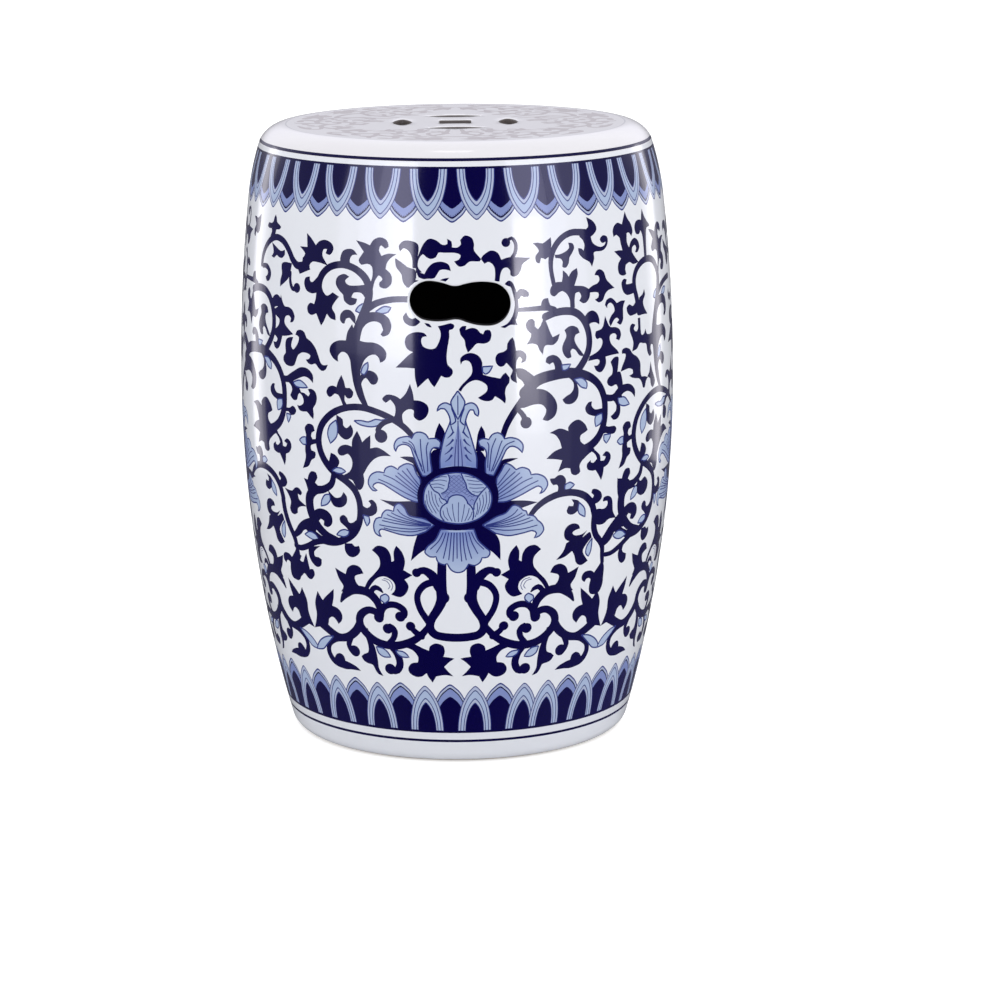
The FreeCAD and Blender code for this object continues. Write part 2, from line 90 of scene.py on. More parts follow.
def arc_at(height):
    """Radius of the outer arc at a height, and where its centre stands: out from the axis, and up."""
    if height < BELLY_HEIGHT:
        return LOWER_CURVE, BELLY_RADIUS - LOWER_CURVE, BELLY_HEIGHT
    if height <= TURN_HEIGHT:
        return UPPER_CURVE, BELLY_RADIUS - UPPER_CURVE, BELLY_HEIGHT
    lean = math.asin((TURN_HEIGHT - BELLY_HEIGHT) / UPPER_CURVE)
    step = UPPER_CURVE - TURN_CURVE
    return (TURN_CURVE, BELLY_RADIUS - UPPER_CURVE + step * math.cos(lean),
            BELLY_HEIGHT + step * math.sin(lean))


def wall_radius(height, inward=0.0):
    """How far from the axis the wall's outer face stands, or a face that far inside it."""
    radius, out, up = arc_at(height)
    return out + math.sqrt((radius - inward) ** 2 - (height - up) ** 2)


def on_wall(turn, height, inward=0.0):
    """The point at a turn in degrees from the front, at a height, in metres."""
    radius = wall_radius(height, inward)
    angle = math.radians(turn)
    return Vector((radius * math.sin(angle), -radius * math.cos(angle), height)) * MM


def wall_normal(turn, height):
    """Straight out of the wall, to light the glaze as the true curve and not as its facets."""
    radius, _, up = arc_at(height)
    lift = (height - up) / radius
    level = math.sqrt(1 - lift * lift)
    angle = math.radians(turn)
    return Vector((level * math.sin(angle), -level * math.cos(angle), lift))


for height in (FOOT_JOINT, BELLY_HEIGHT, TURN_HEIGHT, RIM_HEIGHT):
    print(f"at {height:.1f} mm the wall is {2 * wall_radius(height):.1f} mm across")

# %% [markdown]
# ## Camera, lights and floor
#
# The stool is seen from a little above its seat, with a long lens, so its sides stay nearly parallel.
# The photographer stood more than two metres away. The picture isn't centred on the stool, which a small
# lens shift takes care of without turning the camera.

# %% Camera
AIM = Vector((0.0, 0.0, 203.2)) * MM
STAND = Vector((-26.0, -2220.8, 652.0)) * MM
ROLL = math.radians(0.45)


def add_object(name, data):
    """A new object in the scene."""
    thing = bpy.data.objects.new(name, data)
    bpy.context.scene.collection.objects.link(thing)
    return thing


def aimed(place, aim):
    """How a camera or a lamp stands when it looks from a place at a point."""
    return Matrix.Translation(place) @ (aim - place).to_track_quat("-Z", "Y").to_matrix().to_4x4()


camera_data = bpy.data.cameras.new("portrait_camera")
camera_data.lens = 121.3
camera_data.sensor_width = 36.0
camera_data.shift_x = 0.0424
camera_data.shift_y = -0.0769
camera = add_object("portrait_camera", camera_data)
camera.matrix_world = aimed(STAND, AIM) @ Matrix.Rotation(-ROLL, 4, "Z")
bpy.context.scene.camera = camera
print("camera stands", round((STAND - AIM).length, 3), "m from the stool")

# %% [markdown]
# A glossy glaze shows its lights, so they are placed where the photograph's reflections say. Two tall
# soft boxes stand left and right of the camera, and what is behind the camera stays dark: that is why the
# blue is deepest in one upright stripe down the middle. Each box is made of lamps that grow dimmer
# outwards and downwards, like cloth lit from behind, and their light is a little bluer than the day. The
# lamps only show as reflections, because the pale surround already lights the stool evenly.

# %% Soft boxes
LAMP_DISTANCE = 1.2
BLUISH, NEUTRAL = (0.93, 0.92, 1.2), (1.0, 0.97, 1.0)


def soft_box(name, turn, low, high, width, radiance, colour=NEUTRAL):
    """An upright lamp that faces the axis, right of the front by a turn in degrees."""
    light = bpy.data.lights.new(name, "AREA")
    light.shape = "RECTANGLE"
    light.color = colour
    light.size = width
    light.size_y = high - low
    light.energy = radiance * math.pi * width * (high - low)
    angle = math.radians(turn)
    place = Vector((LAMP_DISTANCE * math.sin(angle), -LAMP_DISTANCE * math.cos(angle), (low + high) / 2))
    lamp = add_object(name, light)
    lamp.matrix_world = aimed(place, Vector((0, 0, place.z)))
    lamp.visible_diffuse = lamp.visible_camera = False
    return lamp


# Each part of a box: its turn, its width, and how bright its upper and its lower piece of cloth are.
BOX_TOP, BOX_SEAM, BOX_FOOT = 1.2, 0.15, -0.25
BOX_PARTS = {
    "left_near": (-32, 0.42, 3.0, 1.0),
    "left_middle": (-46.5, 0.19, 2.0, 0.6),
    "left_far": (-57, 0.25, 1.0, 0.3),
    "right_near": (38, 0.42, 2.5, 0.95),
    "right_middle": (53, 0.2, 1.7, 0.6),
    "right_far": (63, 0.22, 0.9, 0.4),
}
for name, (turn, width, high_part, low_part) in BOX_PARTS.items():
    soft_box(name + "_high", turn, BOX_SEAM, BOX_TOP, width, high_part, BLUISH)
    soft_box(name + "_low", turn, BOX_FOOT, BOX_SEAM, width, low_part, BLUISH)

# Where the cloth hangs nearest to the bulb it glows more, most of all in the right box. Two groups of
# strips stand behind the stool and graze its sides. Each row: turn, width, lower and upper end.
GLOWS = {
    "right_glow": (1.8, ((30.5, 0.1, 0.14, 0.34), (32, 0.16, 0.1, 0.38), (34, 0.24, 0.04, 0.42),
                         (36, 0.33, -0.02, 0.46))),
    "left_glow": (1.1, ((-25.5, 0.12, 0.24, 0.4), (-27, 0.19, 0.2, 0.44), (-29.5, 0.29, 0.14, 0.48))),
    "rim_strip": (0.7, [(turn, width, -0.1, 0.72) for turn, width in (
        (127, 0.12), (126, 0.24), (125, 0.36), (-128, 0.12), (-127, 0.24), (-126, 0.36))]),
}
for name, (radiance, lamps) in GLOWS.items():
    for number, (turn, width, low, high) in enumerate(lamps):
        soft_box(f"{name}_{number}", turn, low, high, width, radiance)

# A small lamp hangs over the seat.
over = soft_box("small_lamp_over_seat", 0, 0.0, 0.16, 0.28, 3.0)
over.matrix_world = Matrix.Translation((-0.03, -0.14, 1.6))

# %% [markdown]
# A pale floor and a pale surround do the rest. The floor isn't seen in the glaze.

# %% Floor and surround
FLOOR_REACH = 40.0

bm = bmesh.new()
bmesh.ops.create_grid(bm, x_segments=1, y_segments=1, size=FLOOR_REACH)
floor_mesh = bpy.data.meshes.new("pale_floor")
bm.to_mesh(floor_mesh)
bm.free()
floor = add_object("pale_floor", floor_mesh)
floor.visible_glossy = False
floor.visible_shadow = False
floor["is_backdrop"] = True

surround = bpy.data.worlds.new("pale_surround")
bpy.context.scene.world = surround
surround.use_nodes = True
print("floor, metres across:", round(2 * FLOOR_REACH))

# %% [markdown]
# ## The painter's language
#
# A pattern like this is drawn once on paper, pricked along its lines, and pounced onto each stool with
# charcoal dust, so that every stool gets the same scroll. The drawing here works the same way. Each row
# is one mark of the brush, and its numbers are pricks: degrees round the stool from the front, and the
# height in millimetres. Blender then joins the pricks with a smooth line. A long row goes on in the next
# line, after a space.
#
# - `vine` is a stroke in dark blue. `:5` is the brush's width from that prick on, and `o7` a round knob.
# - `dot` is a round dab, and `leaf` a dark shape with a closed outline.
# - `!` marks a prick where the outline turns sharply.
# - `petal` and `tint` are pale blue shapes with a thin darker edge, and `shade` is a deeper wash.
# - `vein` and `line` are thin strokes, as many in a row as `/` parts.
#
# An image texture would be simpler, but it would blur close up. Strokes stay sharp at any distance, and a
# stroke that is wrong is mended by moving one prick.

# %% Smooth lines through pricks
MM_PER_DEGREE = 2.4  # One degree of the wall, near enough to space points by.
POINT_SPACING, MOST_STEPS = 1.5, 9
SHARP_TENSION = 0.15


def millimetres_per_degree(height):
    """How long one degree of the wall is at a height."""
    return wall_radius(height) * math.pi / 180


def smooth_line(points, sharp, closed):
    """A smooth line through points, which may only turn sharply at the ones marked sharp."""
    count = len(points)
    line = []
    for i in range(count if closed else count - 1):
        start, end = points[i], points[(i + 1) % count]
        before = points[i - 1] if closed or i > 0 else start
        after = points[(i + 2) % count] if closed or i + 2 < count else end
        if sharp[i]:
            before = start + (start - end) * SHARP_TENSION
        if sharp[(i + 1) % count]:
            after = end + (end - start) * SHARP_TENSION
        length = math.hypot((end[0] - start[0]) * MM_PER_DEGREE, end[1] - start[1])
        steps = max(1, min(MOST_STEPS, round(length / POINT_SPACING)))
        for t in np.arange(steps) / steps:
            line.append(0.5 * (2 * start + (end - before) * t
                               + (2 * before - 5 * start + 4 * end - after) * t ** 2
                               + (3 * start - before - 3 * end + after) * t ** 3))
    return line if closed else line + [points[-1]]


print("one degree at the belly:", round(millimetres_per_degree(BELLY_HEIGHT), 2), "mm")

# %% [markdown]
# A brush leaves a ribbon along its line and a round dab where it rests. Every mark is kept as its paint,
# its outline, and whether the clay is cut along it. For a pale petal it isn't, but for its thin edge it is.

# %% Marks of the brush
WHITE, MIST, PALE, SOFT, FINE, DARK = range(6)
PETAL_EDGE, FINE_BRUSH = 0.95, 0.7
PRICK = re.compile(r"(-?[\d.]+),(-?[\d.]+)(!?)(?::([\d.]+))?(?:o([\d.]+))?")


def ribbon(line):
    """The outline of a stroke: a line of (turn, height, width) with half the width laid off each side."""
    left, right = [], []
    for i, (turn, height, width) in enumerate(line):
        before, after = line[max(i - 1, 0)], line[min(i + 1, len(line) - 1)]
        scale = millimetres_per_degree(height)
        across, along = (after[0] - before[0]) * scale, after[1] - before[1]
        length = math.hypot(across, along) or 1.0
        side = np.array((-along / length / scale, across / length)) * width / 2
        left.append(np.array((turn, height)) + side)
        right.append(np.array((turn, height)) - side)
    return left + right[::-1]


def knob(turn, height, width):
    """A round dab of the brush."""
    count = max(10, round(width * 2.4))
    angles = 2 * math.pi * np.arange(count) / count
    scale = millimetres_per_degree(height)
    return [np.array((turn + width / 2 * math.cos(a) / scale, height + width / 2 * math.sin(a)))
            for a in angles]


def pricks_of(text):
    """The pricks of a row: turn, height, whether it is sharp, and the brush's and the knob's width."""
    return [(float(turn), float(height), bool(bang), float(width or 0), float(knob_width or 0))
            for turn, height, bang, width, knob_width in PRICK.findall(text)]


def shape_marks(kind, pricks):
    """A closed shape, and the thin edge round it where it is pale."""
    line = smooth_line([np.array(prick[:2]) for prick in pricks], [prick[2] for prick in pricks], closed=True)
    made = [({"leaf": DARK, "shade": SOFT}.get(kind, PALE), line, kind in ("leaf", "shade"))]
    if kind in ("petal", "tint"):
        made.append((FINE, ribbon([np.append(point, PETAL_EDGE) for point in line + line[:1]]), True))
    return made


def stroke_marks(kind, pricks):
    """A stroke of the brush. A vine has round ends, and knobs where its row says so."""
    width, points = FINE_BRUSH, []
    for turn, height, _, new_width, _ in pricks:
        width = new_width or width
        points.append(np.array((turn, height, width)))
    line = smooth_line(points, [prick[2] for prick in pricks], closed=False)
    made = [(DARK if kind == "vine" else FINE, ribbon(line), True)]
    if kind == "vine":
        made += [(DARK, knob(*line[0]), True), (DARK, knob(*line[-1]), True)]
    return made + [(DARK, knob(turn, height, knob_width), True)
                   for turn, height, _, _, knob_width in pricks if knob_width]


def marks(drawing):
    """Every mark of a drawing as (paint, outline, whether the clay is cut along it)."""
    made = []
    for row in drawing.strip().replace("\n ", " ").splitlines():
        kind, _, text = row.partition(" ")
        for pricks in map(pricks_of, text.split("/")):
            if kind in ("leaf", "petal", "tint", "shade"):
                made += shape_marks(kind, pricks)
            elif kind == "dot":
                made += [(DARK, knob(turn, height, width), True) for turn, height, _, width, _ in pricks]
            else:
                made += stroke_marks(kind, pricks)
    return made


def moved(drawn, by=0.0, mirror=None, up=0.0):
    """The same marks further round the stool or higher up, or mirrored about an upright line."""
    side, shift = (1, by) if mirror is None else (-1, 2 * mirror + by)
    return [(paint, [np.array((side * point[0] + shift, point[1] + up)) for point in outline], cut)
            for paint, outline, cut in drawn]


print("a vine with one knob makes", len(marks("vine 0,200:5 3,210o7")), "marks")

# %% [markdown]
# ## The scroll at the foot of the drum
#
# Low on the wall the scroll is as regular as a border: half of it is drawn, and the other half is its
# mirror image. The keyhole shape in the middle holds up the big flower.

# %% Lower scroll
LOWER_SCROLL = """
vine -4.3,150:5.6 -4.5,132:6 -4.7,124:7 -4.6,116 -5.8,109:6 -7.6,102:5.6 -8,96 -6.6,91.6 -3.6,90 -.6,89.6
 2.4,90
dot -4.1,117:7.6
vine -6.4,128:5 -9.4,125:4.6 -11.2,118:4.2 -10.6,109 -8.3,100:4.6
vine -5.4,124:6 -6.9,131.5:6.4 -9.2,135.3:5 -11.2,133.6:4.4o6
vine -8.4,97:4 -10.4,91.5:4.6 -13,86.8:5.2 -16.5,83.4:5.6 -20,82.4 -23.6,84 -26.6,88.6 -28.6,95 -28.2,101.4
 -25.8,105.6:5 -23.4,104.8 -22.6,101.2:4.4o7
vine -10.5,90:4.6 -12.4,93.4:4 -13.5,96.8:3.6o6.4
vine -22,102:4.6 -21.6,106.6:4.8 -20,110.2:4.6 -17.4,110.8 -15.3,107.8:4.8 -15.2,104:4.6 -16.3,103o7
vine -20,84:4 -18.6,88 -18.2,92.6:4.4 -19.4,95.6:4.6 -20.2,94o7
vine -34.2,109:1.6 -32.6,114.2:5 -29.6,118.4:6 -25.6,118 -23,113:5.6 -21.8,106:5
vine -28.6,96:5.6 -30,90.6:6 -32.8,85.4:5.6 -36,83.6 -39.2,86.4:6 -42,90.4:7
leaf -28.8,93! -27.3,86.5 -26.7,80.5 -27,76 -28.3,74.6 -29.4,72.4! -28.6,69.4 -27.2,68 -25.9,67.4 -25.2,64
 -24.4,61.4 -22.8,60.2! -24,65.5 -24.1,72 -24.6,80 -25.8,87 -26.3,93!
vine -32.4,84.5:4.6 -33.2,79.5:4 -32.4,75.2 -31.4,75.6o7.8
leaf -37.4,84.4! -40.6,80 -41.9,74 -41.5,68 -39.5,63.2 -36,61.4 -33,61.9 -30.2,61.9! -31.6,64.6 -33.9,66.7
 -35.3,67.4! -35.6,70.6 -36.9,72.2 -38.4,70.8 -39.2,68.2! -40.1,71.6 -39.8,76 -37.6,79.6 -35.4,80.8!
leaf -15.5,82! -12.5,84.4! -10,81.6 -8.6,80.4! -8.3,83.4 -6.6,85.6 -4.6,84 -4.1,80 -4.5,76.3! -3,75.9
 -1.4,75.1! -2.9,72.6 -4.4,69.2! -3.2,65.8 -1.8,62.6! -4.3,63.4 -6.8,62.3! -7.9,57.9! -9,61.5 -9.6,64.4!
 -11,62 -12.8,61.6 -14.6,64 -14.9,67.6 -13.8,71 -12,71.8! -11.8,75.5 -13.2,80
vine -19.6,81.5:4 -17.9,76.6:4.8 -17.3,70:5 -18.3,65.4 -19.8,64.8 -20.4,65.8o7.6
tint -38.4,83.4! -41,82.4 -43.5,79.4 -45.2,75.4 -46,71.7! -43.3,72.8 -41.5,76.5
tint -24.2,80.7! -22,79.8 -20.6,77 -20,74.3! -22,74 -23.6,76.3
tint -18.3,79.2! -16.2,78.8 -15,76.8 -14.5,75! -16.5,75 -17.8,76.8
tint -21.7,113.4! -21.6,116 -20.2,117.9! -19.3,116.5 -19.3,113.8 -20.5,111.4!
leaf -45.6,86.6! -44.7,91! -43.9,97 -43.9,105 -42.4,113.2! -41.6,110 -40.8,107.6! -39.3,111 -36.3,116.9!
 -36.7,110.5 -37.5,105! -35.6,103.8 -34.4,100.4 -34.6,96 -36,92.8! -36.6,95 -37.7,97.2 -39.2,95.4 -39.8,91.4
 -41.5,88 -43.5,88
leaf -26.6,119! -25,126 -22.8,131.6 -21.3,136.6 -21.4,142.5 -23.3,147! -21.6,150.3 -19.3,149.3 -18.1,145
 -17.9,140! -17.2,141! -17.2,147 -16.4,151.2! -14.9,147 -14.2,141 -14.7,135! -12.3,131.8! -14.5,128.6!
 -13.5,124.5 -14.2,119.5 -16,116.4 -18.5,117.8! -17.3,121.5 -17.6,126.5 -19.8,129.7 -22,128.6 -23.8,124.5
 -25.3,119.3!
line -20.4,128.5:.5 -18.7,127.4 -17.9,123.6 -18.5,120.6 / -20.9,127.4:.5 -19.5,126.6 -18.7,123.4 -19.3,121.4
vine -22.6,111:4 -23.8,115.6 -24.2,119:3.6 -22.9,121.8 -21.5,120.4:2.6 -20.9,118.8:1
leaf -33.8,116! -32.9,120 -34.2,125 -35.1,131.8! -33.2,129.8 -31.8,128.6! -31,133 -29.2,135.6 -27.2,134.6
 -26.2,130.4! -27.4,129.6 -28.9,127.8 -28.6,123.5 -27,120 -25.5,117!
"""
MIRROR_LINE = -0.6

lower_half = marks(LOWER_SCROLL)
lower_pair = lower_half + moved(lower_half, mirror=MIRROR_LINE)
lower_marks = lower_pair + moved(lower_pair, by=90)
print("marks in the lower scroll:", len(lower_marks))

# %% [markdown]
# ## The flower
#
# The lotus is the heart of the pattern. Dark leaves come first, then the pale petals with their fine
# veins. The tall one in the middle has a tip and two sprays of its own. Last comes the dark ring with
# the bud and its net of seeds, because a later mark covers an earlier one.

